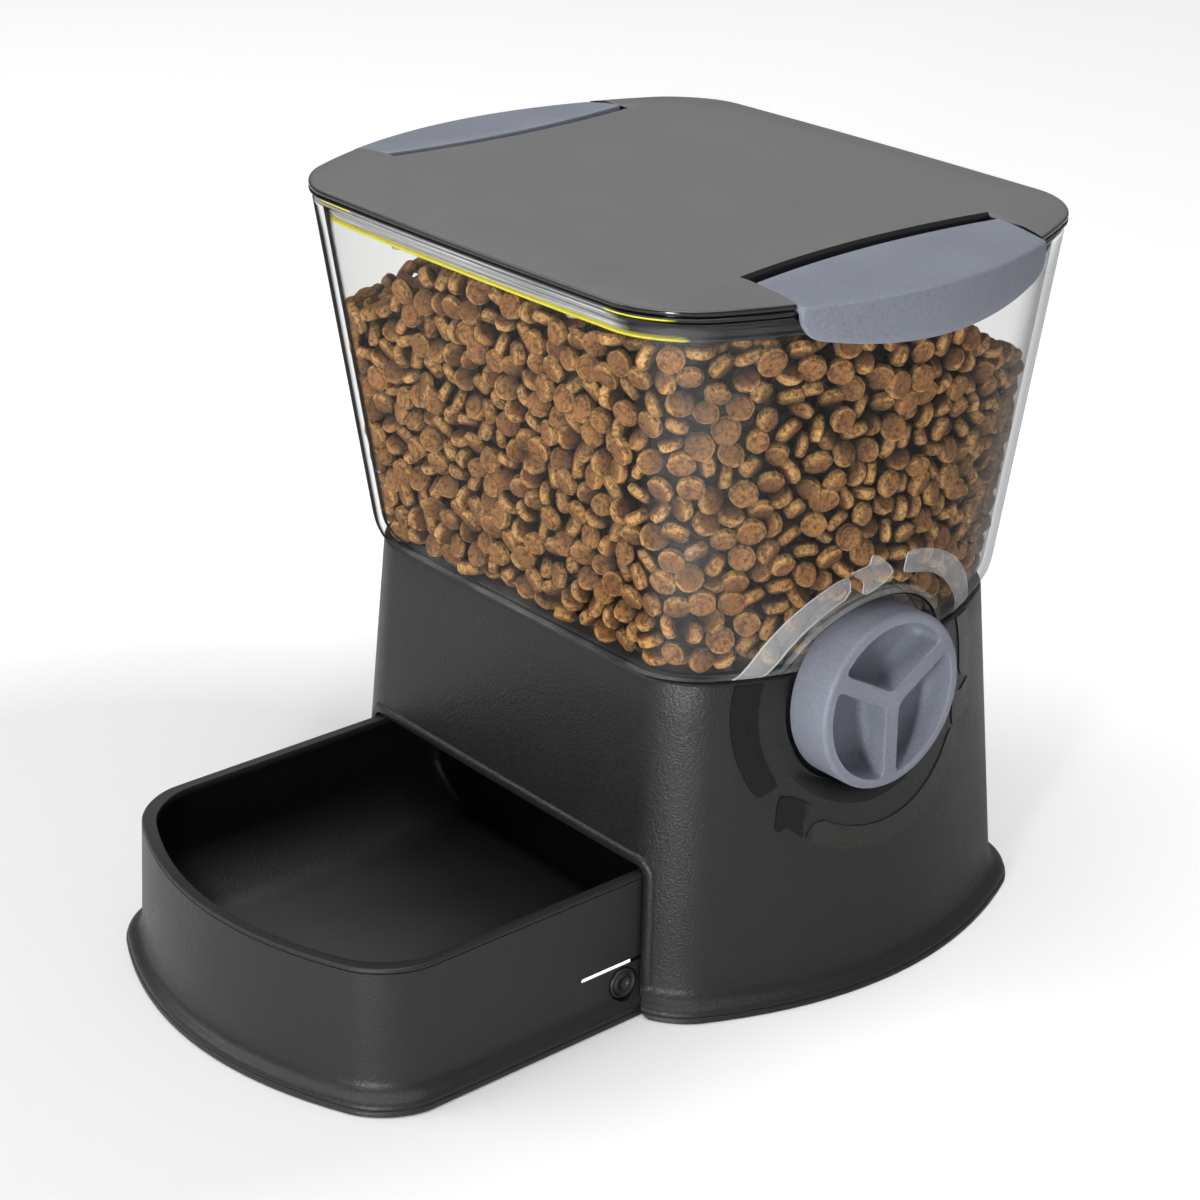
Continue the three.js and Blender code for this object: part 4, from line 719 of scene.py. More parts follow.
def baked_kibble(name):
    """Baked food: each piece its own brown, with darker faces, painted highlights on its rims and painted
    shade deeper in the heap.
    """
    finish, tree, place = new_finish(name)
    each = add_node(tree, "ShaderNodeNewGeometry").outputs["Random Per Island"]
    rim = add_node(tree, "ShaderNodeAttribute", attribute_name="rim").outputs["Fac"]
    deep = add_node(tree, "ShaderNodeAttribute", attribute_name="deep").outputs["Fac"]
    mottle = cloud(tree, place, 520, 5.0, 0.7)
    fibre = cloud(tree, place, 1500, 4.0, 0.75)
    face = tint(tree, each, (0.35, 0.15, 0.04), (0.58, 0.27, 0.08))
    # The paler rim colour is a painted highlight where the discs' edges catch the light
    edge = tint(tree, each, (0.72, 0.37, 0.11), (0.95, 0.55, 0.19))
    tone = tint(tree, spread(tree, rim, 0, 1, 0.25, 0.9), face, edge)
    tone = tint(tree, spread(tree, mottle, 0, 0.85, 0.47, 0.6), tone, (0.13, 0.05, 0.015))
    tone = tint(tree, spread(tree, fibre, 0, 0.7, 0.5, 0.62), tone, (0.1, 0.038, 0.012))
    # Points deeper in the heap are painted darker: painted shade in the gaps
    tone = tint(tree, spread(tree, deep, 0, 0.93, 0, 0.85), tone, (0.012, 0.005, 0.002))
    shader = add_node(tree, "ShaderNodeBsdfPrincipled", {
        "Base Color": tone,
        "Roughness": spread(tree, mottle, 0.5, 0.75),
        "Specular IOR Level": 0.4,
        "Normal": relief(tree, math_node(tree, "ADD", mottle, fibre), 0.9, 0.00045),
    })
    show(tree, shader.outputs[0])
    return finish


def brushed_steel(name):
    """Steel with fine lines along X."""
    finish, tree, place = new_finish(name)
    turn = add_node(tree, "ShaderNodeMapping", {"Vector": place, "Scale": (1, 12, 12)}).outputs[0]
    lines = cloud(tree, turn, 260, 3.0)
    shader = add_node(tree, "ShaderNodeBsdfPrincipled", {
        "Base Color": tint(tree, spread(tree, lines, 0, 1), (0.42, 0.43, 0.44), (0.6, 0.61, 0.62)),
        "Metallic": 1.0,
        "Roughness": spread(tree, lines, 0.25, 0.42),
        "Normal": relief(tree, lines, 0.3, 0.00003),
    })
    show(tree, shader.outputs[0])
    return finish


BLACK_BASE = (0.0098, 0.0098, 0.01)
BLACK = moulded_plastic("moulded_black", BLACK_BASE, 0.4, grain=0.0004, grain_scale=1000, gloss=0.4)
BOWL_BLACK = bowl_plastic("bowl_black")
BUTTON_BLACK = two_tone_plastic("catch_black", BLACK_BASE, 0.42, button_face, (0.012, 0.012, 0.012), 0.3,
                                wear=0.1, gloss=0.42, other_gloss=0.6)
# A darker, nearly unreflecting copy of the black for the parts inside the feeder: painted shade
BLACK_SHADED = moulded_plastic("moulded_black_shaded", (0.003, 0.003, 0.003), 0.7, grain=0.00003, gloss=0.05)
LID_FINISH = two_tone_plastic("satin_lid", (0.132, 0.132, 0.135), 0.38,
                              lid_sides, (0.008, 0.008, 0.009), 0.12)
# Its strong edge wear is partly wear and partly a painted highlight on its edges, such as the rims of the
# knob's pockets
BLUE_GREY = moulded_plastic("moulded_blue_grey", (0.195, 0.21, 0.256), 0.5, grain=0.0003, grain_scale=850,
                            wear=0.7)
# The marks behind the first arrow head take a lighter colour: painted light
MARK = two_tone_plastic("polished_mark", (0.0055, 0.0055, 0.005), 0.3, marks_painted_lit, (0.021, 0.021, 0.019), 0.3,
                        grain=0.000002, wear=0, gloss=0.2, other_gloss=0.3)
SEAL_FINISH = silicone_seal("yellow_silicone")
RUBBER = moulded_plastic("black_rubber", (0.012, 0.012, 0.012), 0.85, grain=0.00012, grain_scale=900)
# The liner glows though it is no lamp: painted light
PALE_GLOWING = moulded_plastic("glowing_pale_liner", (0.9, 0.9, 0.9), 0.5, grain=0.00001, glow=0.7)
NATURAL = moulded_plastic("natural_plastic", (0.72, 0.69, 0.6), 0.42, grain=0.00002)
STEEL = brushed_steel("brushed_steel")
CLEAR = clear_plastic("clear_hopper", 0.003)
CLEAR_MARK = clear_plastic("frosted_mark", 0.17, 0.8, 0.6)
KIBBLE = baked_kibble("baked_kibble")
# A dark fill inside the heap: painted shade between the pieces
HEAP_SHADE = moulded_plastic("heap_shade_dark", (0.03, 0.014, 0.006), 0.9, grain=0.0004)


# Tower


def tower_at(z):
    """The tower's outline without its flare at a height."""
    return between(inset(TOWER_FOOT, FOOT_FLARE), TOWER_TOP, z / TOWER_HEIGHT)


def bowl_at(z):
    """The bowl's outline without its flare at a height."""
    half_width, front = BOWL_FOOT.half_width - FOOT_FLARE, BOWL_FOOT.front + FOOT_FLARE
    return between(BOWL_FOOT._replace(half_width=half_width, front=front), BOWL_RIM, z / BOWL_RIM_Z)


# The flare of both feet as (share of the flare, height above the surface): a lip, a groove, a rounded bead
# and a hollow shoulder
FLARE = (
    (0.96, 0.4), (1.0, 0.7), (1.0, 2.1), (0.97, 2.4), (0.9, 2.55), (0.9, 2.85), (0.94, 3.15), (0.93, 3.8),
    (0.87, 4.5), (0.76, 5.2), (0.61, 5.8), (0.45, 6.3), (0.3, 6.95), (0.17, 7.8), (0.08, 8.8), (0.02, 9.8),
    (0, 11),
)


def flare_at(z):
    for (out, low), (next_out, high) in zip(FLARE, FLARE[1:]):
        if low <= z <= high:
            return out + (next_out - out) * (z - low) / (high - low)
    return 0 if z > FLARE[-1][1] else FLARE[0][0]


def tower_ring(z, grow=0):
    return at_height(bowed_outline(inset(tower_at(z), -FOOT_FLARE * flare_at(z) - grow)), z)


def tower_levels():
    low, high = FLARE[-1][1], TOWER_HEIGHT - TOWER_EDGE
    return [z for _, z in FLARE] + [low + (high - low) * i / 9 for i in range(1, 10)]


def tower_edge():
    """Rings of the rounded top edge."""
    rings = []
    steps = 4
    for i in range(1, steps + 1):
        angle = math.pi / 2 * i / steps
        z = TOWER_HEIGHT - TOWER_EDGE * (1 - math.sin(angle))
        rings.append(at_height(bowed_outline(inset(tower_at(z), TOWER_EDGE * (1 - math.cos(angle)))), z))
    return rings


def slot_half(grow, z_low=0.0):
    """The slot's right half as (x, z) from its foot to its top's middle: the bowl's section with its slip."""
    top = BOWL_RIM_Z + SLOT_TOP_GAP + grow
    points = []
    for out, z in FLARE[1:]:
        points.append((bowl_at(z).half_width + FOOT_FLARE * out + SLIP + grow, z + (SLIP + grow) * out))
    rim_x = bowl_at(BOWL_RIM_Z).half_width + SLIP + grow
    foot_x, foot_z = points[-1]
    radius = SLOT_CORNER + grow
    start_z = top - radius
    points += [(foot_x + (rim_x - foot_x) * i / 6, foot_z + (start_z - foot_z) * i / 6) for i in range(1, 6)]
    points += arc((rim_x - radius, start_z), radius, 0, 90, 8)
    points += [((rim_x - radius) * (1 - i / 10), top) for i in range(1, 11)]
    return [(points[0][0], z_low)] + points


def tower_skin(x, z):
    """The place on the tower's front skin at one x and height, and the direction out of it."""
    outline = bowed_outline(inset(tower_at(z), -FOOT_FLARE * flare_at(z)))
    run = outline[: FRONT_STEPS + CORNER_STEPS + 2]
    for (x0, y0), (x1, y1) in zip(run, run[1:]):
        if x0 <= x <= x1:
            y = y0 + (y1 - y0) * (x - x0) / (x1 - x0)
            out = Vector((y1 - y0, x0 - x1, 0)).normalized()
            return Vector((x, y, z)), out
    raise ValueError(f"{x} is past the tower's front")


# The bead round the slot as (place across it from the slot's edge, rise out of the skin)
BEAD = ((-0.7, -1.6), (-0.7, -0.2), (-0.25, 0.3), (0.3, 0.66), (0.9, 0.92), (1.6, 1.06), (2.3, 1.1),
        (3, 0.98), (3.6, 0.7), (4.05, 0.3), (4.3, -0.2), (4.3, -1.6))


def slot_bead():
    """The rounded bead, followed up the right side, over the top and down the left."""
    inner, outer = slot_half(0)[1:], slot_half(BEAD_WIDTH)[1:]
    rings = []
    foot = sum(1 for _, z in inner if z < BEAD_LOW)
    inner, outer = inner[foot:], outer[foot:]
    for near, far in zip(inner, outer):
        ring = []
        full = smooth_step(BEAD_LOW - 4, BEAD_LOW + 9, near[1])
        for across, rise in BEAD:
            share = across / BEAD_WIDTH
            x = near[0] + (far[0] - near[0]) * share
            z = near[1] + (far[1] - near[1]) * share
            place, out = tower_skin(x, z)
            ring.append(tuple(place + out * (rise if rise < 0 else rise * full - 0.2 * (1 - full))))
        rings.append(ring)
    other = [[(-x, y, z) for x, y, z in ring] for ring in reversed(rings[:-1])]
    return loft(rings + other)


def pocket_outline(radius, top):
    """Half a round under straight sides, as (y, z)."""
    return [(KNOB_Y + radius, top)] + arc((KNOB_Y, KNOB_Z), radius, 0, -180, 40) + [(KNOB_Y - radius, top)]


def mouth_tool(outline_of, floor_x, skin_x, fillet, floor_fillet=2.5):
    """A cutter for a pocket sunk in from +X whose floor and mouth are rounded. outline_of(grow) gives its
    outline as (y, z), and skin_x(y, z) the face that it opens."""
    floor_steps, mouth_steps, widest = 4, 6, math.radians(78)
    rings = []
    for i in range(floor_steps + 1):
        angle = math.pi / 2 * i / floor_steps
        grow = -floor_fillet * (1 - math.sin(angle))
        x = floor_x + floor_fillet * (1 - math.cos(angle))
        rings.append([(x, y, z) for y, z in outline_of(grow)])
    for i in range(mouth_steps + 1):
        angle = widest * i / mouth_steps
        grow = fillet * (1 - math.cos(angle))
        reach = fillet * (math.sin(angle) - 1)
        ring = []
        for y, z in outline_of(grow):
            ring.append((max(skin_x(y, z) + reach, floor_x + floor_fillet + 0.02 * (i + 1)), y, z))
        rings.append(ring)
    rings.append([(LID_WIDEST + OVERRUN, y, z) for _, y, z in ring])
    return loft(rings)


def base_shell():
    """The tower: a shell with the knob's pocket, four columns and the beaded slot for the bowl."""
    outside = [tower_ring(z) for z in tower_levels()] + tower_edge()
    inside = []
    for i in range(9):
        z = TOWER_HEIGHT - (TOWER_HEIGHT - FLOOR_GAP) * i / 8
        inside.append(at_height(bowed_outline(inset(tower_at(z), TOWER_WALL)), z))
    shell = loft(outside + inside, closed=True)
    core = loft([at_height(bowed_outline(inset(tower_at(z), TOWER_WALL / 2)), z)
                 for z in (POCKET_WALL_LOW, TOWER_HEIGHT)])
    wall = prism(pocket_outline(TOWER_POCKET + TOWER_WALL, TOWER_HEIGHT + OVERRUN), "x",
                 POCKET_X - TOWER_WALL, LID_WIDEST)
    column_top = DECK_TOP - DECK_THICK - SEAT
    columns, bores = [], []
    for number in range(1, 5):
        low, high = box_mm(f"base_foot_{number}")
        place = ((low.x + high.x) / 2, (low.y + high.y) / 2 - CENTRE_Y)
        columns.append(rod("z", COLUMN_RADIUS, place, FLOOR_GAP + SEAT, column_top))
        bores.append(rod("z", SCREW_HOLE, place, column_top - COLUMN_HOLE_DEPTH, column_top + OVERRUN, 16))
        bores.append(rod("z", FOOT_PLUG, place, -OVERRUN, FLOOR_GAP + SEAT + FOOT_PLUG_DEPTH, 20))
    whole = joined(shell, kept(wall, core), *columns, slot_bead())
    open_top = TOWER_HEIGHT + OVERRUN
    pocket = mouth_tool(
        lambda grow: pocket_outline(TOWER_POCKET + grow, open_top), POCKET_X,
        lambda y, z: side_x(tower_at(min(z, TOWER_HEIGHT)), y), POCKET_FILLET,
    )
    notch = prism(pocket_outline(NOTCH_RADIUS, open_top), "x", POCKET_X - TOWER_WALL - OVERRUN, LID_WIDEST)
    right = slot_half(0, -OVERRUN)
    slot_points = right + [(-x, z) for x, z in reversed(right[:-1])]
    ahead = -TOWER_FOOT.half_depth - OVERRUN * 3
    slot = prism(slot_points, "y", ahead, -SLOT_DEPTH)
    foot_x, foot_z, bend = right[1][0] - 0.5, FLARE[0][1], SLOT_FOOT_BEND
    corner = [(foot_x, foot_z - OVERRUN), (foot_x + bend, foot_z - OVERRUN)]
    corner += arc((foot_x + bend, foot_z + bend), bend, 270, 180, 8)
    corners = [mirrored(prism(corner, "y", ahead, 6 - TOWER_FOOT.half_depth), side) for _, side in SIDES]
    return cut(whole, pocket, notch, slot, *corners, *bores)


# Hopper


def hopper_at(z):
    return between(HOPPER_BASE, HOPPER_TOP, (z - TOWER_HEIGHT) / HOPPER_HEIGHT)


def hopper_ring(by, z):
    return at_height(bowed_outline(inset(hopper_at(z), by)), z)


def round_points(centre_inset, centre_z, radius, start, end, steps):
    """(inset, height) points of a rounding whose angles are in degrees, 0 towards the outside."""
    return [(-a, b) for a, b in arc((-centre_inset, centre_z), radius, start, end, steps)]


def hopper_outside():
    """The outer skin as (inset, height), from the foot to the rim."""
    low = TOWER_HEIGHT + SEAT
    points = []
    for i in range(BEND_STEPS + 1):
        angle = math.pi / 2 * i / BEND_STEPS
        points.append((HOPPER_TUCK * (1 - math.sin(angle)), low + HOPPER_ROUND * (1 - math.cos(angle))))
    start = points[-1][1]
    rise = RIM_Z - RIM_EDGE - start
    points += [(0, start + rise * i / WALL_STEPS) for i in range(1, WALL_STEPS + 1)]
    points += round_points(RIM_EDGE, RIM_Z - RIM_EDGE, RIM_EDGE, 0, 90, 3)[1:]
    return points


def hopper_inside():
    """The inner skin as (inset, height), from the rim to the ledge over the tower."""
    ledge = TOWER_HEIGHT + SEAT + HOPPER_WALL
    bend = HOPPER_ROUND - HOPPER_WALL
    points = round_points(HOPPER_WALL - RIM_EDGE, RIM_Z - RIM_EDGE, RIM_EDGE, 90, 180, 3)
    straight = RIM_Z - RIM_EDGE - ledge - bend
    points += [(HOPPER_WALL, RIM_Z - RIM_EDGE - straight * i / WALL_STEPS) for i in range(1, WALL_STEPS)]
    for i in range(8):
        angle = math.pi / 2 * i / 7
        by = HOPPER_WALL + HOPPER_TUCK * (1 - math.cos(angle))
        points.append((by, ledge + bend * (1 - math.sin(angle))))
    edge = HOPPER_LEDGE + HOPPER_TUCK
    return points + [(edge, ledge), (edge, TOWER_HEIGHT + SEAT)]


def hopper_shell():
    """The hopper with the spigot that sits in the tower and the arch that clears the knob."""
    shell = loft([hopper_ring(*point) for point in hopper_outside() + hopper_inside()], closed=True)
    outer, inner = TOWER_WALL + SEAT, TOWER_WALL + SEAT + SPIGOT_WALL
    low, high = TOWER_HEIGHT - SPIGOT_DEPTH, TOWER_HEIGHT + HOPPER_WALL / 2
    ease = SPIGOT_EASE
    section = ((inner, high), (inner, low + ease), (inner - ease, low),
               (outer + ease, low), (outer, low + ease), (outer, high))
    spigot = loft([at_height(bowed_outline(inset(TOWER_TOP, by)), z) for by, z in section], closed=True)
    axis = (KNOB_Y, KNOB_Z)
    filled = loft([hopper_ring(by + HOPPER_WALL / 2, z) for by, z in hopper_outside()])
    arch_wall = rod("x", HOPPER_ARCH + HOPPER_WALL, axis, POCKET_X - HOPPER_WALL, LID_WIDEST, 72)
    arch_wall = kept(arch_wall, filled)
    ridge_z = RIM_Z - RIDGE_BELOW
    ridges = []
    run_out = RIDGE_HALF_LENGTH - 2
    for _, side in SIDES:
        points = [(side * (side_x(hopper_at(ridge_z), y) + RIDGE_RISE - fall), y)
                  for fall, y in ((0.9, -RIDGE_HALF_LENGTH), (0, -run_out), (0, 0), (0, run_out),
                                  (0.9, RIDGE_HALF_LENGTH))]
        back = [(x - side * (RIDGE_RISE + HOPPER_WALL / 2), y) for x, y in reversed(points)]
        ridges.append(prism(points + back, "z", ridge_z, ridge_z + RIDGE_HEIGHT))
    whole = joined(shell, spigot, arch_wall, *ridges)
    arch = mouth_tool(
        lambda grow: arc(axis, HOPPER_ARCH + grow, 0, 360, 96)[:-1], POCKET_X,
        lambda y, z: side_x(inset(hopper_at(z), hopper_tuck(z)), y), 1.0, 1.5,
    )
    room = prism(pocket_outline(TOWER_POCKET + TOWER_WALL + SEAT, TOWER_HEIGHT + SEAT), "x",
                 POCKET_X - TOWER_WALL - SEAT, LID_WIDEST)
    return cut(whole, arch, room)


def hopper_tuck(z):
    """How far the rounded bottom draws the hopper's wall in at a height."""
    rise = min(1, max(0, (z - TOWER_HEIGHT - SEAT) / HOPPER_ROUND))
    return HOPPER_TUCK * (1 - math.sqrt(1 - (1 - rise) ** 2)) if rise < 1 else 0


# Direction marks, bands and their arrow heads round the knob: (start, end, head) in degrees, clockwise as
# seen from +X, about a middle a little off the knob's
MARK_MIDDLE = (KNOB_Y + 4.1, KNOB_Z - 3.6)
MARK_IN, MARK_OUT = 50.4, 59.6
MARK_PROUD, HOPPER_MARK_PROUD, MARK_ROOT = 0.42, 0.15, 0.5
MARK_LOW_Z = 20
MARKS = ((-33, -124.5, -135), (-150, -248.5, -259.5), (84, -9.5, -21))
# A head's outline as (way along the band, rise off the band's middle)
MARK_HEAD = ((10.2, -2.6), (7.8, 0.8), (2.0, 7.4), (0.2, 8.0), (-1.1, 4.3), (-8.6, 4.9), (-3.9, -1.9),
             (-5.4, -6.6), (-3.4, -7.7), (5.7, -5.9))


def polar(centre, radius, degrees):
    angle = math.radians(degrees)
    return (centre[0] + radius * math.cos(angle), centre[1] + radius * math.sin(angle))


def ease_corner(one, corner, two):
    """Points of a soft bend from one place to another that leans towards a corner."""
    shares = (0, 0.25, 0.5, 0.75, 1)
    return [tuple(one * (1 - t) ** 2 + corner * 2 * t * (1 - t) + two * t * t) for t in shares]


def rounded(outline, radius):
    """A closed outline with its corners eased."""
    points = [Vector(p) for p in outline]
    made = []
    for i, here in enumerate(points):
        before, after = points[i - 1] - here, points[(i + 1) % len(points)] - here
        reach = min(radius, before.length * 0.45, after.length * 0.45)
        made += ease_corner(here + before.normalized() * reach, here, here + after.normalized() * reach)
    return made


def mark_outlines(start, end, head):
    """One band with eased ends and its head, both as (y, z)."""
    outer = arc(MARK_MIDDLE, MARK_OUT, start, end, 30)
    inner = arc(MARK_MIDDLE, MARK_IN, end, start, 30)
    tail = [polar(MARK_MIDDLE, MARK_IN + 2, start), polar(MARK_MIDDLE, MARK_IN + 0.6, start - 0.5)]
    nose = [polar(MARK_MIDDLE, MARK_OUT - 0.6, end - 0.4), polar(MARK_MIDDLE, MARK_OUT - 3, end - 1.2),
            polar(MARK_MIDDLE, MARK_IN + 2.4, end - 0.4)]
    start_round = [polar(MARK_MIDDLE, MARK_OUT - 0.6, start - 0.5), polar(MARK_MIDDLE, MARK_OUT - 2, start)]
    band = outer[1:-1] + nose + inner[1:-1] + tail[::-1] + start_round[::-1]
    middle = (MARK_IN + MARK_OUT) / 2
    points = [polar(MARK_MIDDLE, middle + rise, head - math.degrees(along / middle))
              for along, rise in MARK_HEAD]
    return band, rounded(points, 1.3)


def direction_marks():
    """The marks lie on the tower and the hopper, split at the seam between them."""
    levels = [z for z in tower_levels() if z > MARK_LOW_Z]
    tower_slab = loft([tower_ring(z, MARK_PROUD) for z in levels]
                      + [tower_ring(z, -MARK_ROOT) for z in reversed(levels)], closed=True)
    outside = hopper_outside()[1:BEND_STEPS + 6]
    hopper_slab = loft([hopper_ring(by - HOPPER_MARK_PROUD, z) for by, z in outside]
                       + [hopper_ring(by + MARK_ROOT, z) for by, z in reversed(outside)], closed=True)
    outlines = [outline for mark in MARKS for outline in mark_outlines(*mark)]
    prints = joined(*[prism(outline, "x", TOWER_TOP.half_width, LID_WIDEST) for outline in outlines])
    copy = prints.copy()
    return kept(prints, tower_slab), kept(copy, hopper_slab)


# Knob


def drawn_in(outline, by):
    """An outline scaled about its middle so that its far points move by the given length."""
    middle = sum((Vector(p) for p in outline), Vector((0, 0))) / len(outline)
    reach = max((Vector(p) - middle).length for p in outline)
    return [tuple(middle + (Vector(p) - middle) * (1 + by / reach)) for p in outline]


KNOB_RIM = 4.2
SPOKE_HALF, SPOKE_BEND = 3.4, 3.2
FINGER_DEPTH, FINGER_EDGE, FINGER_FLOOR_BEND = 13, 0.9, 5.5
SHAFT_SOCKET, SHAFT_SOCKET_DEPTH = 4.7, 9.3


def finger_outline(turn):
    """A third of the knob's face between two spokes, with rounded corners, as (y, z)."""
    radius, spoke, bend = KNOB_RADIUS - KNOB_RIM, SPOKE_HALF, SPOKE_BEND
    third = math.tau / 3
    tip = Vector((math.cos(turn + third / 2), math.sin(turn + third / 2))) * (spoke / math.sin(third / 2))
    lean = math.asin(spoke / radius)
    first, last = turn + lean, turn + third - lean
    start = Vector((math.cos(first), math.sin(first))) * radius
    end = Vector((math.cos(last), math.sin(last))) * radius

    def eased(before, corner, after):
        one = corner + (before - corner).normalized() * bend
        return ease_corner(one, corner, corner + (after - corner).normalized() * bend)

    ease = bend / radius
    rim = arc((0, 0), radius, math.degrees(first + ease * 1.4), math.degrees(last - ease * 1.4), 16)
    outline = eased(start, tip, end)[::-1]
    outline += eased(tip, start, Vector(rim[0]))
    outline += rim[1:-1]
    outline += eased(Vector(rim[-1]), end, tip)
    return [(KNOB_Y + y, KNOB_Z + z) for y, z in outline]


def dispensing_knob():
    """The knob with three finger pockets and the six-sided socket for its shaft."""
    back, face, edge, rear = KNOB_BACK_X, KNOB_FACE_X, 1.9, 1.1
    profile = [(0, back), (KNOB_RADIUS - rear, back)]
    profile += [(r, x) for x, r in arc((back + rear, KNOB_RADIUS - rear), rear, 180, 90, 4)][1:]
    profile += [(KNOB_RADIUS, back + (face - back) * 0.5)]
    profile += [(r, x) for x, r in arc((face - edge, KNOB_RADIUS - edge), edge, 90, 0, 6)]
    profile += [(0, face)]
    knob = turned(profile, (KNOB_Y, KNOB_Z), 128)
    pockets = []
    for i in range(3):
        outline = finger_outline(math.pi / 6 + math.tau / 3 * i)
        pockets.append(mouth_tool(lambda grow, line=outline: drawn_in(line, grow), face - FINGER_DEPTH,
                                  lambda y, z: face, FINGER_EDGE, FINGER_FLOOR_BEND))
    bore = rod("x", SHAFT_SOCKET, (KNOB_Y, KNOB_Z), back - OVERRUN, back + SHAFT_SOCKET_DEPTH, 6)
    return cut(knob, *pockets, bore)


# Bowl


# The scooped side as shares of its run and its fall, the rim's outer edge as (inset, depth under the rim),
# and the underside as (inset, height)
SLOPE_SHARES = ((0.015, 0.08), (0.05, 0.2), (0.12, 0.34), (0.22, 0.49), (0.34, 0.64), (0.48, 0.78),
                (0.62, 0.88), (0.76, 0.95), (0.88, 0.985), (1, 1))
RIM_EDGE_DOWN = ((0.0, 1.9), (0.35, 1.75), (0.35, 1.45), (0.05, 1.25), (0.0, 0.8), (0.1, 0.35), (0.35, 0.1),
                 (0.8, 0))
UNDERSIDE = ((SLOPE_INSET, BOWL_FLOOR - BOWL_FLOOR_THICK), (16, 8.6), (9, 13), (4.5, 17.5), (2.2, 22),
             (0.8, SLOPE_TOP - 3), (0.2, FLARE[-1][1]), (0, FLOOR_GAP))


def slope_points():
    """The inside of the bowl as (side inset, front inset, height), from the rim's inner edge to the floor."""
    wall, band, band_low = BOWL_WALL + SEAT, BOWL_RIM_WIDTH, BOWL_RIM_Z - BOWL_RIM_DROP
    rim = ((band - 0.9, BOWL_RIM_Z), (band - 0.3, BOWL_RIM_Z - 0.25), (band, BOWL_RIM_Z - 0.9),
           (band, band_low + 0.8), (wall + 0.6, band_low), (wall, band_low - 0.8))
    points = [(by, by, z) for by, z in rim]
    drop = SLOPE_TOP - BOWL_FLOOR
    points += [(wall, wall, SLOPE_TOP + (band_low - SLOPE_TOP) * share) for share in (0.7, 0.4, 0.15)]
    for run, fall in SLOPE_SHARES:
        side = wall + (SLOPE_INSET - BOWL_WALL) * run
        points.append((side, wall + (side - wall) / 2, SLOPE_TOP - drop * fall))
    return points


def bowl():
    """The bowl with its scooped sides, low back, foot bosses and the openings of its catches."""
    outside = []
    for out, z in FLARE:
        flare = -FOOT_FLARE * out
        outside.append(at_height(bowl_outline(bowl_at(z), flare, flare), z))
    low, high = FLARE[-1][1], BOWL_RIM_Z - RIM_EDGE_DOWN[0][1] - 0.2
    for i in range(1, 7):
        z = low + (high - low) * i / 6
        outside.append(at_height(bowl_outline(bowl_at(z)), z))
    for by, down in RIM_EDGE_DOWN:
        z = BOWL_RIM_Z - down
        outside.append(at_height(bowl_outline(bowl_at(z), by, by, by), z))
    inside = [at_height(bowl_outline(bowl_at(z), side, front, BOWL_WALL), z)
              for side, front, z in slope_points()]
    underside = []
    for i, (run, z) in enumerate(UNDERSIDE):
        back = BOWL_WALL - 0.12 * i
        flat = min(z, BOWL_FLOOR - BOWL_FLOOR_THICK + 0.05 * i)
        ring = bowl_outline(bowl_at(z), BOWL_WALL + run, BOWL_WALL + run / 2, back)
        underside.append([(x, y, z + (flat - z) * smooth_step(BOWL_BACK - 22, BOWL_BACK - BOWL_WALL, y))
                          for x, y in ring])
    body = loft(underside + outside + inside)
    bosses, sockets, windows = [], [], []
    for y in BOWL_BOSS_YS:
        for _, side in SIDES:
            place = (BOWL_BOSS_X * side, y)
            bosses.append(rod("z", BOWL_BOSS, place, FLOOR_GAP + SEAT, BOWL_FLOOR - BOWL_FLOOR_THICK / 2))
            sockets.append(rod("z", BOWL_PLUG, place, -OVERRUN, FLOOR_GAP + SEAT + BOWL_PLUG_DEPTH, 16))
    wall_x = bowl_at(CATCH_LOW).half_width
    inner, outer = wall_x - BOWL_WALL - OVERRUN, wall_x + FOOT_FLARE + OVERRUN
    for _, side in SIDES:
        windows.append(mirrored(prism(catch_window(CATCH_GAP), "x", inner, outer), side))
    return cut(joined(body, *bosses), low_back(), *sockets, *windows)


def low_back():
    """A cutter for the bowl's low back, with a bend at each end of it and at each corner of its top."""
    rim_x, top_bend, foot_bend = BOWL_RIM.half_width - BOWL_BACK_RIM, 6, 5
    outline = [(-rim_x - top_bend, BOWL_RIM_Z + OVERRUN)]
    outline += arc((-rim_x - top_bend, BOWL_RIM_Z - top_bend + 0.1), top_bend, 90, 0, 6)
    outline += arc((-rim_x + foot_bend, BOWL_BACK_TOP + foot_bend), foot_bend, 180, 270, 6)
    outline += [(-x, z) for x, z in reversed(outline)]
    return prism(outline, "y", BOWL_BACK - BOWL_WALL - OVERRUN, BOWL_BACK + OVERRUN)


def catch_window(gap):
    """The opening round a catch as (y, z): its tongue with a gap, and the slit over it, which runs ahead."""
    top = CATCH_HIGH + CATCH_SLIT
    half = CATCH_SLIT / 2
    low, back = CATCH_LOW - gap, CATCH_BACK + gap
    nose = arc((CATCH_FRONT + half, CATCH_HIGH + half), half, 270, 90, 6)
    return [(CATCH_FRONT + half, low), (back, low), (back, top), *reversed(nose)]


# The button's face as (step in from its edge, height over the bowl's wall): two rings round a dish
BUTTON_RINGS = ((0, 0.1), (0.15, 0.45), (0.45, 0.65), (0.85, 0.65), (1.2, 0.4), (1.6, -0.1), (2, -0.2),
                (2.4, -0.05), (2.7, 0.3), (3, 0.45), (3.35, 0.4), (3.7, 0.1), (4, -0.4), (4.4, -0.6),
                (BUTTON_RADIUS, -0.6))


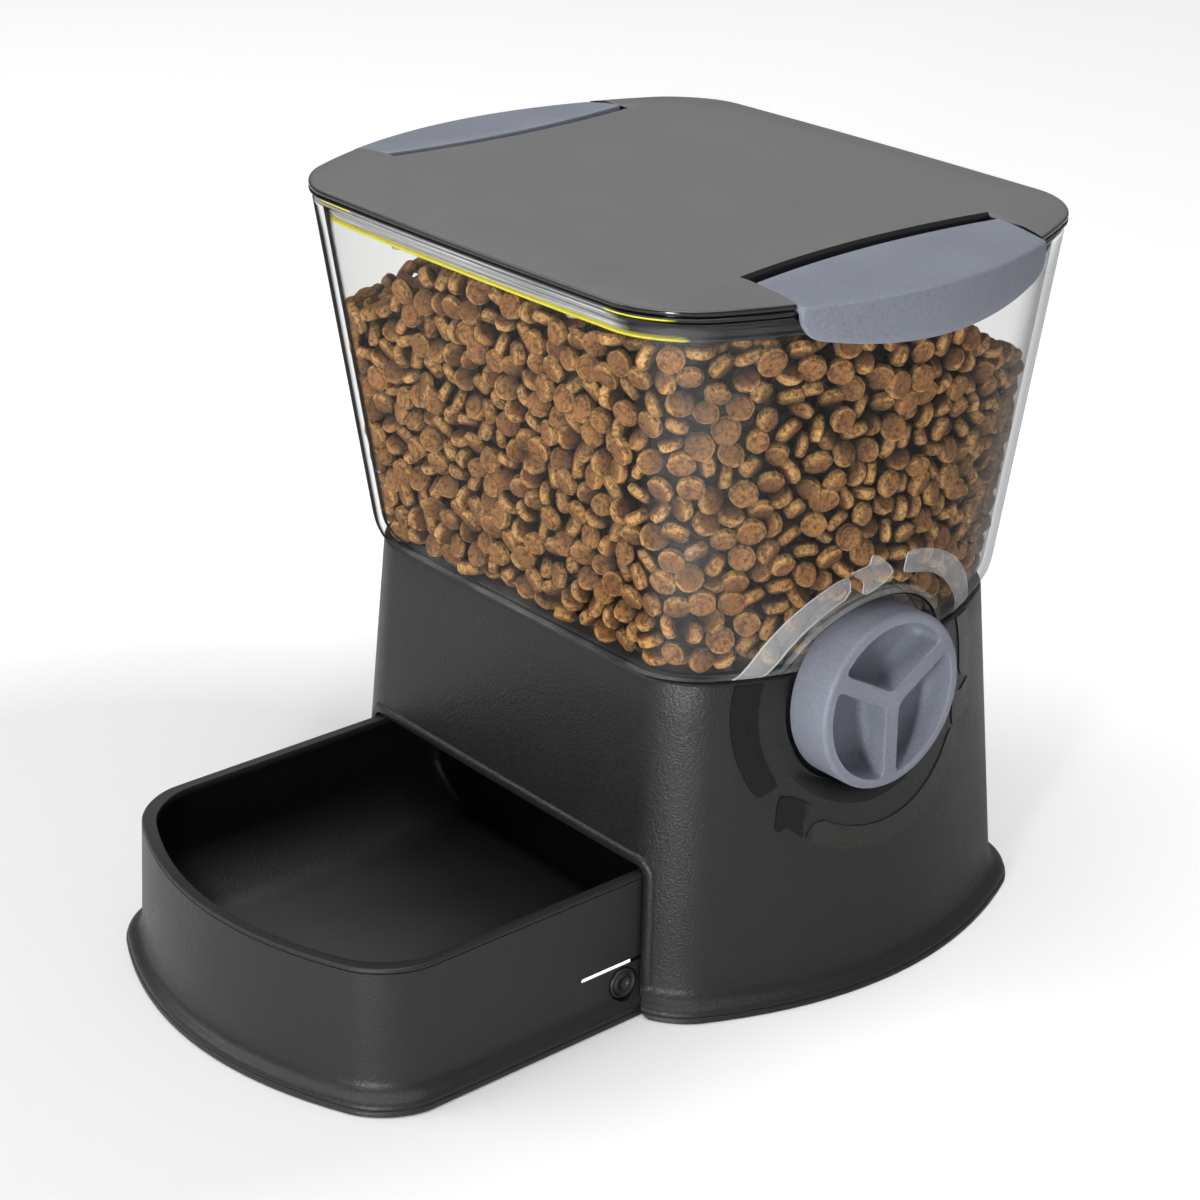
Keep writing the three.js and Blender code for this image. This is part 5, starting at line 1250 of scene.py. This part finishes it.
def bowl_catch(side):
    """A tongue of the bowl's wall with a round button, of two raised rings, let into it."""
    rings = []
    for z in [CATCH_LOW] + [level for _, level in FLARE if level > CATCH_LOW + 0.2] + [CATCH_HIGH]:
        x = bowl_at(z).half_width + FOOT_FLARE * flare_at(z)
        inner = bowl_at(z).half_width - CATCH_THICK
        front = CATCH_FRONT + CATCH_SLIT / 2
        rings.append([(inner, front, z), (x, front, z), (x, CATCH_BACK, z), (inner, CATCH_BACK, z)])
    tongue = loft(rings)
    face = bowl_at(BUTTON_Z).half_width
    root = face - BUTTON_ROOT
    profile = [(0, root), (BUTTON_RADIUS, root)]
    profile += [(BUTTON_RADIUS - step, face + rise) for step, rise in BUTTON_RINGS]
    button = turned(profile, (BUTTON_Y, BUTTON_Z), 64)
    dish = rod("x", BUTTON_RADIUS + DISH_GAP, (BUTTON_Y, BUTTON_Z), face - DISH_DEPTH,
               face + FOOT_FLARE + OVERRUN, 64)
    return mirrored(joined(cut(tongue, dish), button), side)


def catch_liner(side):
    """The pale strip behind the slit over a catch, made to glow so that the slit reads as a bright line:
    painted light.
    """
    x = bowl_at(CATCH_HIGH).half_width
    middle = CATCH_HIGH + CATCH_SLIT / 2
    front, low, high = CATCH_FRONT + 0.5, middle - LINER_HALF, middle + LINER_HALF
    outline = [(front, high), (LINER_BACK, high), (LINER_BACK, low), (front, low)]
    return mirrored(prism(outline, "x", x - 1.8, x - 0.4), side)


# Lid


def lid_ring(by, z):
    return at_height(bowed_outline(inset(LID_OUTLINE, by)), z)


# The lid's edge as (inset, height above the plate's low edge): a skirt, two polished beads with a groove
# between them, and the border that slopes up to the flat middle
LID_SIDE = ((0.6, -1.15), (0.15, -1.2), (0.0, -1.05), (0.0, -0.75), (0.3, -0.4), (1.0, -0.25), (1.0, 0.0),
            (0.35, 0.12), (0.08, 0.45), (0.0, 0.9), (0.0, 1.5), (0.12, 1.85), (0.45, 2.08))
LID_TOP = ((1.1, 2.24), (3, 2.85), (6, 3.5), (9, 4.0), (12, 4.4), (14.5, 4.66), (15.6, 4.8), (16.6, 4.9),
           (18, 4.96), (22, 5.0), (40, 5.0), (60, 5.0))
TRAY_WALL = 3.4


def latch_plan(grow, outer_x):
    """The plan round one latch: a bowed inner edge, straight ends and everything outside it."""
    half_length, inner_x, steps = LATCH_ROOM + grow, CUT_INNER_X - grow, 36
    points = [(outer_x, -half_length), (outer_x, half_length)]
    for i in range(steps + 1):
        y = half_length * (1 - 2 * i / steps)
        points.append((inner_x - LATCH_BULGE * (1 - (y / half_length) ** 2), y))
    return points


def lid_cover():
    """The lid's plate with a tray, a recess and a pin's bore for each latch, and posts for its screws."""
    room_top = LID_TOP_Z - LID_SHELL
    skirt_in = LID_SKIRT - 1.5
    under = [lid_ring(by, z) for by, z in (
        (60, room_top), (LID_SKIRT + 0.6, room_top), (LID_SKIRT, room_top - 0.6), (LID_SKIRT, SKIRT_Z),
        (skirt_in, SKIRT_Z), (skirt_in, LID_LOW_Z - 1))]
    edge = [lid_ring(by, LID_LOW_Z + up) for by, up in LID_SIDE + LID_TOP]
    plate = loft(under + edge)
    recess_edge = ((0, LATCH_FLOOR_Z), (0, LID_TOP_Z - 0.6), (0.25, LID_TOP_Z - 0.1), (0.9, LID_TOP_Z + 1.2),
                   (0.9, LID_TOP_Z + OVERRUN))
    trays, cuts = [], []
    limit = loft([lid_ring(LID_SKIRT / 3, z) for z in (SKIRT_Z - OVERRUN, LID_LOW_Z + 2.4)])
    for _, side in SIDES:
        shelf = prism(latch_plan(TRAY_WALL, LID_WIDEST), "z", SKIRT_Z + 0.05, LID_TOP_Z - 1)
        trays.append(mirrored(kept(shelf, limit.copy()), side))
        well = prism(latch_plan(TRAY_WALL, WELL_OUTER_X + 1.6), "z", WELL_FLOOR_Z - 1.6, LATCH_FLOOR_Z + 1)
        trays.append(mirrored(well, side))
        rings = [at_height(latch_plan(wider, LID_WIDEST + OVERRUN), z) for wider, z in recess_edge]
        cuts.append(mirrored(loft(rings), side))
        room = prism(latch_plan(0, WELL_OUTER_X), "z", WELL_FLOOR_Z, LATCH_FLOOR_Z + 2)
        cuts.append(mirrored(room, side))
        pin_place = (side * LATCH_PIN_X, LATCH_PIN_Z)
        cuts.append(rod("y", LATCH_PIN + SEAT, pin_place, -LATCH_PIN_END, LATCH_PIN_END, 16))
    limit.free()
    places = lid_screw_places()
    posts = [rod("z", LID_POST, place, SKIRT_Z, room_top + 1) for place in places]
    holes = [rod("z", SCREW_HOLE, place, SKIRT_Z - OVERRUN, room_top - SEAT, 16) for place in places]
    return cut(joined(plate, *trays, *posts), *cuts, *holes)


def lid_screw_places():
    low, high = box_mm("lid_screw_1")
    x, y = (low.x + high.x) / 2, (low.y + high.y) / 2 - CENTRE_Y
    return [(a * abs(x), b * abs(y)) for a in (1, -1) for b in (1, -1)]


def lid_seal():
    """The seal: a lower lip inside the hopper's wall, a web, and an upper lip between the rim and the lid."""
    lip, web, back, top = HOPPER_WALL + SEAT, HOPPER_WALL + 1.4, HOPPER_WALL + 2.6, RIM_Z + SEAT
    lower_lip = ((back, -0.8), (lip + 0.3, -0.8), (lip, -0.5), (lip, 0.2), (lip + 0.3, 0.5), (web, 0.7),
                 (web, 2), (web - 0.45, 2.5), (web - 0.45, 3.1), (web, 3.6))
    upper_lip = ((RIM_EDGE + 0.6, -0.3), (RIM_EDGE, 0), (RIM_EDGE, 0.6), (RIM_EDGE + 0.3, 0.85), (back, 0.85))
    points = [(by, LIP_LOW + up) for by, up in lower_lip]
    points += [(web, top), (RIM_EDGE + 0.35, top), (RIM_EDGE, top + 0.3), (RIM_EDGE, top + 1),
               (RIM_EDGE + 0.6, top + 1.4)]
    points += [(by, LIP_HIGH + up) for by, up in upper_lip]
    return loft([hopper_ring(*point) for point in points], closed=True)


# Latches


def latch_stations():
    """Places along a flap with how far its skin is drawn in there, close together at its round ends."""
    half = [(LATCH_HALF_LENGTH, 0.5), (59.85, 0.24), (59.6, 0.08)]
    half += [(y, 0) for y in (59.3, 58.6, 57.6, 56.4, 54.8, 53, *range(50, -1, -5))]
    return [(-y, tuck) for y, tuck in half] + [(y, tuck) for y, tuck in reversed(half[:-1])]


def latch_section(y, tuck):
    """The closed section of a flap at one place: pad, crease and curtain, as (x, z)."""
    share = abs(y) / LATCH_HALF_LENGTH
    edge = side_x(LID_OUTLINE, y) + LATCH_PROUD - tuck
    crease_z = LID_LOW_Z + 1.3
    past = max(0, abs(y) - (LATCH_HALF_LENGTH - LATCH_CORNER))
    lift = LATCH_CORNER - math.sqrt(max(0, LATCH_CORNER**2 - past**2))
    foot = crease_z - LATCH_DROP + LATCH_END_LIFT * share**2 + lift + tuck
    pad_low = LATCH_FLOOR_Z + 0.6
    in_x = PAD_INNER_X - LATCH_BULGE * (1 - share**2) + tuck
    top = LATCH_TOP_Z - tuck
    inner = edge - LATCH_WALL + tuck
    points = [(in_x, pad_low), (in_x, top - 0.8), (in_x + 0.2, top - 0.25), (in_x + 0.75, top)]
    points += [(in_x + 0.75 + (edge - 1.5 - in_x) * s, top - (top - crease_z) * s**1.35)
               for s in (0.25, 0.5, 0.75, 0.93)]
    curtain_top = crease_z - 1.3
    points += [(edge - 0.9, crease_z - 0.02), (edge - 0.42, crease_z - 0.25), (edge - 0.12, crease_z - 0.7)]
    drop = curtain_top - foot - 0.6
    points += [(edge, curtain_top - drop * s) for s in (0, 0.35, 0.7, 1)]
    points += [(edge - 0.18, foot + 0.18), (edge - 0.6, foot), (inner + 0.4, foot), (inner, foot + 0.4)]
    points += [(inner, max(foot + 0.5, pad_low - 1.2)), (inner - 0.6, max(foot + 0.55, pad_low))]
    return points


def latch(side):
    """A flap with the knuckle it turns on and the hook under its curtain."""
    flap = loft([[(x, y, z) for x, z in latch_section(y, tuck)] for y, tuck in latch_stations()])
    pin_place = (LATCH_PIN_X, LATCH_PIN_Z)
    knuckle = rod("y", LATCH_KNUCKLE, pin_place, -LATCH_KNUCKLE_END, LATCH_KNUCKLE_END)
    bore = rod("y", LATCH_PIN + SEAT, pin_place, -LATCH_HALF_LENGTH - 10, LATCH_HALF_LENGTH + 10, 20)
    hook_z = LID_LOW_Z - HOOK_DROP
    hook = []
    for y, reach in ((-22, 0.3), (-21, 0.9), (0, 0.9), (21, 0.9), (22, 0.3)):
        x = side_x(LID_OUTLINE, y) + LATCH_PROUD - LATCH_WALL
        hook.append([(x + 1.1, y, hook_z - 1.5), (x - reach, y, hook_z - 1), (x - reach, y, hook_z - 0.2),
                     (x + 1.1, y, hook_z)])
    return mirrored(cut(joined(flap, knuckle, loft(hook)), bore), side)


# Dry food


KIBBLE_RADIUS = 5.1
KIBBLE_THICK = 4.6
KIBBLE_SPACING = 9.45
KIBBLE_SHOWN = 17
KIBBLE_TURNS = 80
KIBBLE_PARTS = 5
LAYER_RISE, ROW_STEP = 0.8165, 0.866
SCATTER = 1.3
# Discs nearer to a wall or the top than this are laid against it and drawn to it a share of the way a turn
WALL_BAND, WALL_DRAW, WALL_CLEAR = 9, 0.2, 0.15
# Discs nearer to each other than their reach times TIGHT move apart a share of the way a turn
TIGHT, GIVE, LONGEST_MOVE = 1.05, 0.32, 1.5
# From DEEP_FROM mm inside the heap the pieces are painted darker over DEEP_OVER mm, as shade
DEEP_FROM, DEEP_OVER = 1, 6.2
FOOD_CEILING = box_mm("lid_frame")[0].z - 1
# The heap's height at its left and in front, and how far it rises to the right and falls to the back over
# which stretch of x and y
HEAP_LEFT_Z, HEAP_RISE, HEAP_RISE_X = 234, 34, (-86, -24)
HEAP_FRONT_Z, HEAP_FALL, HEAP_FALL_Y = 267, 44, (12, 84)
HEAP_REACH = 140


def heap_top(x, y):
    """The height of the food: full in the right front corner and lower to the left and the back."""
    along = np.clip((x - HEAP_RISE_X[0]) / (HEAP_RISE_X[1] - HEAP_RISE_X[0]), 0, 1)
    full = HEAP_LEFT_Z + HEAP_RISE * along * along * (3 - 2 * along)
    behind = np.clip((y - HEAP_FALL_Y[0]) / (HEAP_FALL_Y[1] - HEAP_FALL_Y[0]), 0, 1)
    back = HEAP_FRONT_Z - HEAP_FALL * behind
    ripple = 2 * np.sin(x / 13 + 1.3 * np.sin(y / 17)) + 1.4 * np.sin(y / 9 + x / 21)
    return np.minimum(FOOD_CEILING, np.minimum(full, back) + ripple)


def food_room(places):
    """How far places lie inside the hopper's inner wall, off the arch over the knob and off the wheel."""
    x, y, z = places.T
    share = np.clip((z - TOWER_HEIGHT) / HOPPER_HEIGHT, 0, 1)
    rise = np.clip((z - FOOD_FLOOR) / (HOPPER_ROUND - HOPPER_WALL), 0, 1)
    by = HOPPER_WALL + HOPPER_TUCK * (1 - np.sqrt(1 - (1 - rise) ** 2))
    half_width, half_depth, _, side_bow, corner, _ = (
        low + (high - low) * share for low, high in zip(HOPPER_BASE, HOPPER_TOP))
    half_depth = half_depth - by
    beside = half_width - by + side_bow * (1 - (y / half_depth) ** 2) - np.abs(x)
    beside = beside / np.sqrt(1 + (2 * side_bow * y / half_depth**2) ** 2)
    ahead = half_depth - np.abs(y)
    bend = corner * 0.9
    round_corner = bend - np.hypot(bend - beside, bend - ahead)
    walls = np.where((beside < bend) & (ahead < bend), round_corner, np.minimum(beside, ahead))
    above = np.hypot(y - KNOB_Y, z - KNOB_Z) - HOPPER_ARCH - HOPPER_WALL
    arch = np.maximum(above, POCKET_X - HOPPER_WALL - x)
    wheel = np.maximum(np.hypot(y - KNOB_Y, z - KNOB_Z) - WHEEL_REACH, np.abs(x) - WHEEL_END)
    return np.minimum(np.minimum(walls, arch), np.minimum(wheel, z - FOOD_FLOOR))


def way_in(places):
    """The direction from the nearest wall inwards at each place."""
    slopes = np.empty_like(places)
    for i in range(3):
        step = np.zeros(3)
        step[i] = 0.3
        slopes[:, i] = food_room(places + step) - food_room(places - step)
    return slopes / np.maximum(np.linalg.norm(slopes, axis=1), 1e-6)[:, None]


def disc_reach(lean, way):
    """How far discs whose faces look along lean reach in the given directions."""
    facing = np.abs(np.sum(lean * way, axis=1))
    return KIBBLE_RADIUS * np.sqrt(np.maximum(0, 1 - facing**2)) + KIBBLE_THICK / 2 * facing


def close_pairs(places, reach):
    tree = kdtree.KDTree(len(places))
    for i, place in enumerate(places):
        tree.insert(place, i)
    tree.balance()
    pairs = [(i, j) for i, place in enumerate(places) for _, j, _ in tree.find_range(place, reach) if j > i]
    return np.array(pairs).T


def settle_food(seed):
    """Places and facings of the food that shows, pressed against the walls and against each other."""
    rng = np.random.default_rng(seed)
    step = KIBBLE_SPACING
    rows = []
    for k in range(-1, int(HEAP_REACH / (step * LAYER_RISE))):
        for j in range(-14, 15):
            for i in range(-17, 18):
                x = (i + 0.5 * (j % 2) + 0.5 * (k % 2)) * step
                y = (j + (k % 2) / 3) * step * ROW_STEP
                rows.append((x, y, FOOD_FLOOR + 3 + k * step * LAYER_RISE))
    places = np.array(rows) + rng.normal(0, SCATTER, (len(rows), 3))
    room = food_room(places)
    below = heap_top(places[:, 0], places[:, 1]) - places[:, 2]
    places = places[(room > 2) & (below > 1.5) & (np.minimum(room, below) < KIBBLE_SHOWN)]
    inward = way_in(places)
    at_wall = food_room(places) < WALL_BAND
    at_top = heap_top(places[:, 0], places[:, 1]) - places[:, 2] < WALL_BAND
    ways = np.where(at_wall[:, None], inward, np.where(at_top[:, None], (0, 0, 1), (0, 0, 0)))
    lean = rng.normal(0, 1, places.shape)
    lean += ways * rng.choice([0, 1.2, 2.6], len(places), p=[0.3, 0.35, 0.35])[:, None]
    lean /= np.linalg.norm(lean, axis=1)[:, None]
    for turn in range(KIBBLE_TURNS):
        if turn % 3 == 0:
            first, second = close_pairs(places, 2 * KIBBLE_RADIUS + 0.3)
        gap = places[second] - places[first]
        far = np.maximum(np.linalg.norm(gap, axis=1), 0.01)
        way = gap / far[:, None]
        press = TIGHT * (disc_reach(lean[first], way) + disc_reach(lean[second], way)) - far
        push = way * (np.maximum(0, press) * GIVE)[:, None]
        move = np.zeros_like(places)
        np.add.at(move, second, push)
        np.add.at(move, first, -push)
        places = places + np.clip(move, -LONGEST_MOVE, LONGEST_MOVE)
        inward = way_in(places)
        short = disc_reach(lean, inward) + WALL_CLEAR - food_room(places)
        drawn = np.where(at_wall, WALL_DRAW * short, 0)
        places = places + inward * np.where(short > 0, short, drawn)[:, None]
        upward = np.array([[0, 0, 1.0]])
        over = places[:, 2] + disc_reach(lean, upward) - heap_top(places[:, 0], places[:, 1])
        places[:, 2] -= np.where(over > 0, over, np.where(at_top & ~at_wall, WALL_DRAW * over, 0))
    inward = way_in(places)
    short = disc_reach(lean, inward) + WALL_CLEAR - food_room(places)
    places = places + inward * np.maximum(0, short)[:, None]
    return places, lean


def kibble_shapes(seed):
    """A few discs of baked food, none quite round, with a few dozen faces each."""
    rng = random.Random(seed)
    made = []
    for kind in range(7):
        bm = bmesh.new()
        radius = KIBBLE_RADIUS * (1, 0.95, 1.04)[kind % 3]
        thick = KIBBLE_THICK * (0.9, 1.1, 1)[kind % 3]
        rim = bm.verts.layers.float.new("rim")
        bmesh.ops.create_cone(bm, segments=14, radius1=radius, radius2=radius, depth=thick, cap_ends=True)
        rims = [e for e in bm.edges if abs(e.verts[0].co.z - e.verts[1].co.z) < 0.001]
        bmesh.ops.bevel(bm, geom=rims, offset=thick * 0.24, offset_type="OFFSET", segments=1, profile=0.5,
                        affect="EDGES", material=-1, clamp_overlap=True)
        bmesh.ops.scale(bm, verts=bm.verts, vec=(1, (1, 0.87, 0.95)[kind % 3], 1))
        for vert in bm.verts:
            vert[rim] = 1 if abs(vert.co.z) < thick / 2 - 0.1 else 0
            vert.co += Vector((rng.uniform(-1, 1), rng.uniform(-1, 1), rng.uniform(-0.5, 0.5))) * 0.2
        mesh = bpy.data.meshes.new("kibble_shape")
        bm.to_mesh(mesh)
        bm.free()
        made.append(mesh)
    return made


def pour_kibble():
    """Fills the hopper: a disc at each place, and how deep each point lies in the heap for its painted shade.
    """
    shapes = kibble_shapes(3)
    rng = random.Random(11)
    places, lean = settle_food(7)
    for part in range(KIBBLE_PARTS):
        bm = bmesh.new()
        bm.verts.layers.float.new("rim")
        deep = bm.verts.layers.float.new("deep")
        for place, way in zip(places[part::KIBBLE_PARTS], lean[part::KIBBLE_PARTS]):
            shape = rng.choice(shapes)
            turn = Vector(way).to_track_quat("Z", "Y").to_matrix().to_4x4()
            turn = turn @ Matrix.Rotation(rng.uniform(0, math.tau), 4, "Z")
            move = Matrix.Translation(place) @ turn @ Matrix.Scale(rng.uniform(0.92, 1.05), 4)
            shape.transform(move)
            bm.from_mesh(shape)
            shape.transform(move.inverted())
        points = np.array([vert.co for vert in bm.verts])
        cover = np.minimum(food_room(points), heap_top(points[:, 0], points[:, 1]) - points[:, 2])
        for vert, share in zip(bm.verts, np.clip((cover - DEEP_FROM) / DEEP_OVER, 0, 1)):
            vert[deep] = share
        settle(bm, f"kibble_{part + 1}", "hopper", KIBBLE, sharp=28)
    for shape in shapes:
        bpy.data.meshes.remove(shape)


CORE_INSET, CORE_SIDE_HEIGHT, CORE_DEPTH = 13, 78, 11
CORE_TOP_Z = 225
CORE_TOP_INSETS = (16, 25, 45, 70, 85)


def kibble_core():
    """A dark body inside the heap, painted shade that closes the gaps between the pieces that show."""
    rings = []
    for i in range(9):
        z = FOOD_FLOOR + 1 + CORE_SIDE_HEIGHT * i / 8
        by = HOPPER_WALL + hopper_tuck(z - HOPPER_WALL) + CORE_INSET
        rings.append(at_height(bowed_outline(inset(hopper_at(z), by)), z))
    for by in CORE_TOP_INSETS:
        outline = bowed_outline(inset(hopper_at(CORE_TOP_Z), by))
        rings.append([(x, y, float(heap_top(x, y)) - CORE_DEPTH) for x, y in outline])
    core = loft(rings)
    axis, deep = (KNOB_Y, KNOB_Z), HOPPER_WALL + 9
    arch = rod("x", HOPPER_ARCH + deep, axis, POCKET_X - deep, LID_WIDEST, 48)
    end = WHEEL_END + WHEEL_GAP
    return cut(core, arch, rod("x", WHEEL_REACH + WHEEL_GAP, axis, -end, end, 48))


# The object

make_camera()
settle(base_shell(), "tower", "base", BLACK, ["base_shell"])
tower_marks, hopper_marks = direction_marks()
settle(tower_marks, "tower_marks", "base", MARK)
settle(hopper_marks, "hopper_marks", "hopper", CLEAR_MARK)
settle(hopper_shell(), "clear_hopper", "hopper", CLEAR, ["hopper_shell"])
settle(dispensing_knob(), "hand_knob", "wheel", BLUE_GREY, ["dispensing_knob"])
settle(bowl(), "food_bowl", "bowl_tray", BOWL_BLACK, ["bowl"])
for side_name, way in SIDES:
    settle(bowl_catch(way), f"press_catch_{side_name}", f"catch_{side_name}_button",
           BUTTON_BLACK, [f"bowl_catch_{side_name}"])
    settle(catch_liner(way), f"catch_liner_{side_name}", "bowl_tray", PALE_GLOWING)
    settle(latch(way), f"lid_latch_{side_name}", f"latch_{side_name}_flap", BLUE_GREY,
           [f"latch_{side_name}"])
settle(lid_cover(), "lid_plate", "lid", LID_FINISH, ["lid_cover"])
settle(lid_seal(), "rim_seal", "lid", SEAL_FINISH, ["lid_seal"])
settle(kibble_core(), "kibble_core", "hopper", HEAP_SHADE)
pour_kibble()

KEPT_NODES = (
    (("food_chute", "drum_housing", "lid_frame"), BLACK_SHADED),
    (("portion_wheel", "shaft_bush"), NATURAL),
    (("wheel_shaft", "shaft_clip", "latch_pin", "_screw_"), STEEL),
    (("base_foot", "bowl_foot"), RUBBER),
)
for words, finish in KEPT_NODES:
    for node_name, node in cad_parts.items():
        if any(word in node_name for word in words):
            node.data.materials.clear()
            node.data.materials.append(finish)


# Floor and light


FLOOR_HALF = 6
# The camera's glow on the floor is least near GLOW_MIDDLE by the bowl's left, painted shade, and rises away
# from it, which also paints light over the real shadow to the right
GLOW_MIDDLE = (-0.1, -0.15, 0)
GLOW_NEAR, GLOW_FAR = (0.11, 0.19), (0.48, 0.34)


def make_floor():
    """A plain pale floor that keeps its shadow; for the camera it glows less near the object, a painted
    shade, and more further off, up to white.
    """
    bm = bmesh.new()
    bmesh.ops.create_grid(bm, x_segments=4, y_segments=4, size=FLOOR_HALF)
    mesh = bpy.data.meshes.new("floor")
    bm.to_mesh(mesh)
    bm.free()
    floor = bpy.data.objects.new("floor", mesh)
    bpy.context.scene.collection.objects.link(floor)
    finish, tree, place = new_finish("pale_floor")
    plain = add_node(tree, "ShaderNodeBsdfDiffuse", {"Color": (0.8, 0.8, 0.8, 1)})
    seen = add_node(tree, "ShaderNodeBsdfDiffuse", {"Color": (0.66, 0.66, 0.66, 1)})
    away = vector_node(tree, "DISTANCE", place, GLOW_MIDDLE).outputs["Value"]
    glow = spread(tree, away, GLOW_NEAR[0], GLOW_FAR[0], GLOW_NEAR[1], GLOW_FAR[1])
    lit = add_node(tree, "ShaderNodeEmission", {"Color": (1, 1, 1, 1), "Strength": glow})
    both = add_node(tree, "ShaderNodeAddShader")
    tree.links.new(seen.outputs[0], both.inputs[0])
    tree.links.new(lit.outputs[0], both.inputs[1])
    rays = add_node(tree, "ShaderNodeLightPath")
    mix = add_node(tree, "ShaderNodeMixShader", {"Fac": rays.outputs["Is Camera Ray"]})
    tree.links.new(plain.outputs[0], mix.inputs[1])
    tree.links.new(both.outputs[0], mix.inputs[2])
    show(tree, mix.outputs[0])
    mesh.materials.append(finish)


def softbox(name, place, aim, size, power):
    """A soft lamp of a size and a power in watts, at a place and turned to another, all in metres."""
    data = bpy.data.lights.new(name, "AREA")
    data.shape = "RECTANGLE"
    data.size, data.size_y = size
    data.energy = power
    lamp = bpy.data.objects.new(name, data)
    bpy.context.scene.collection.objects.link(lamp)
    lamp.location = place
    lamp.rotation_euler = (Vector(aim) - Vector(place)).to_track_quat("-Z", "Y").to_euler()


def make_world():
    """White behind the object; for the rest a soft room, darker at the left and lower down."""
    world = bpy.data.worlds.new("studio")
    bpy.context.scene.world = world
    world.use_nodes = True
    tree = world.node_tree
    tree.nodes.clear()
    rays = add_node(tree, "ShaderNodeLightPath")
    way = add_node(tree, "ShaderNodeTexCoord").outputs["Generated"]
    along = add_node(tree, "ShaderNodeSeparateXYZ", {"Vector": way})
    left = spread(tree, along.outputs["X"], 0.12, 0.35, -0.95, -0.1)
    up = spread(tree, along.outputs["Z"], 0.8, 1.25, 0.0, 0.9)
    level = product(tree, left, up)
    room = add_node(tree, "ShaderNodeBackground", {"Color": (1, 1, 1, 1), "Strength": level})
    white = add_node(tree, "ShaderNodeBackground", {"Color": (1, 1, 1, 1), "Strength": 1.0})
    mix = add_node(tree, "ShaderNodeMixShader", {"Fac": rays.outputs["Is Camera Ray"]})
    tree.links.new(room.outputs[0], mix.inputs[1])
    tree.links.new(white.outputs[0], mix.inputs[2])
    add_node(tree, "ShaderNodeOutputWorld", {"Surface": mix.outputs[0]})


make_floor()
softbox("key", (-1.6, -1.6, 1.6), (0, 0, 0.15), (1.3, 1.3), 22.5)
softbox("top", (0.0, -0.35, 2.0), (0, -0.05, 0.1), (1.4, 1.4), 24)
softbox("back", (-1.3, 1.3, 0.95), (0, 0, 0.25), (1.5, 0.8), 0.9)
softbox("corner", (0.75, -1.25, 0.28), (0.1, 0, 0.12), (0.14, 0.5), 14)
make_world()
bpy.context.scene.view_settings.view_transform = "Standard"
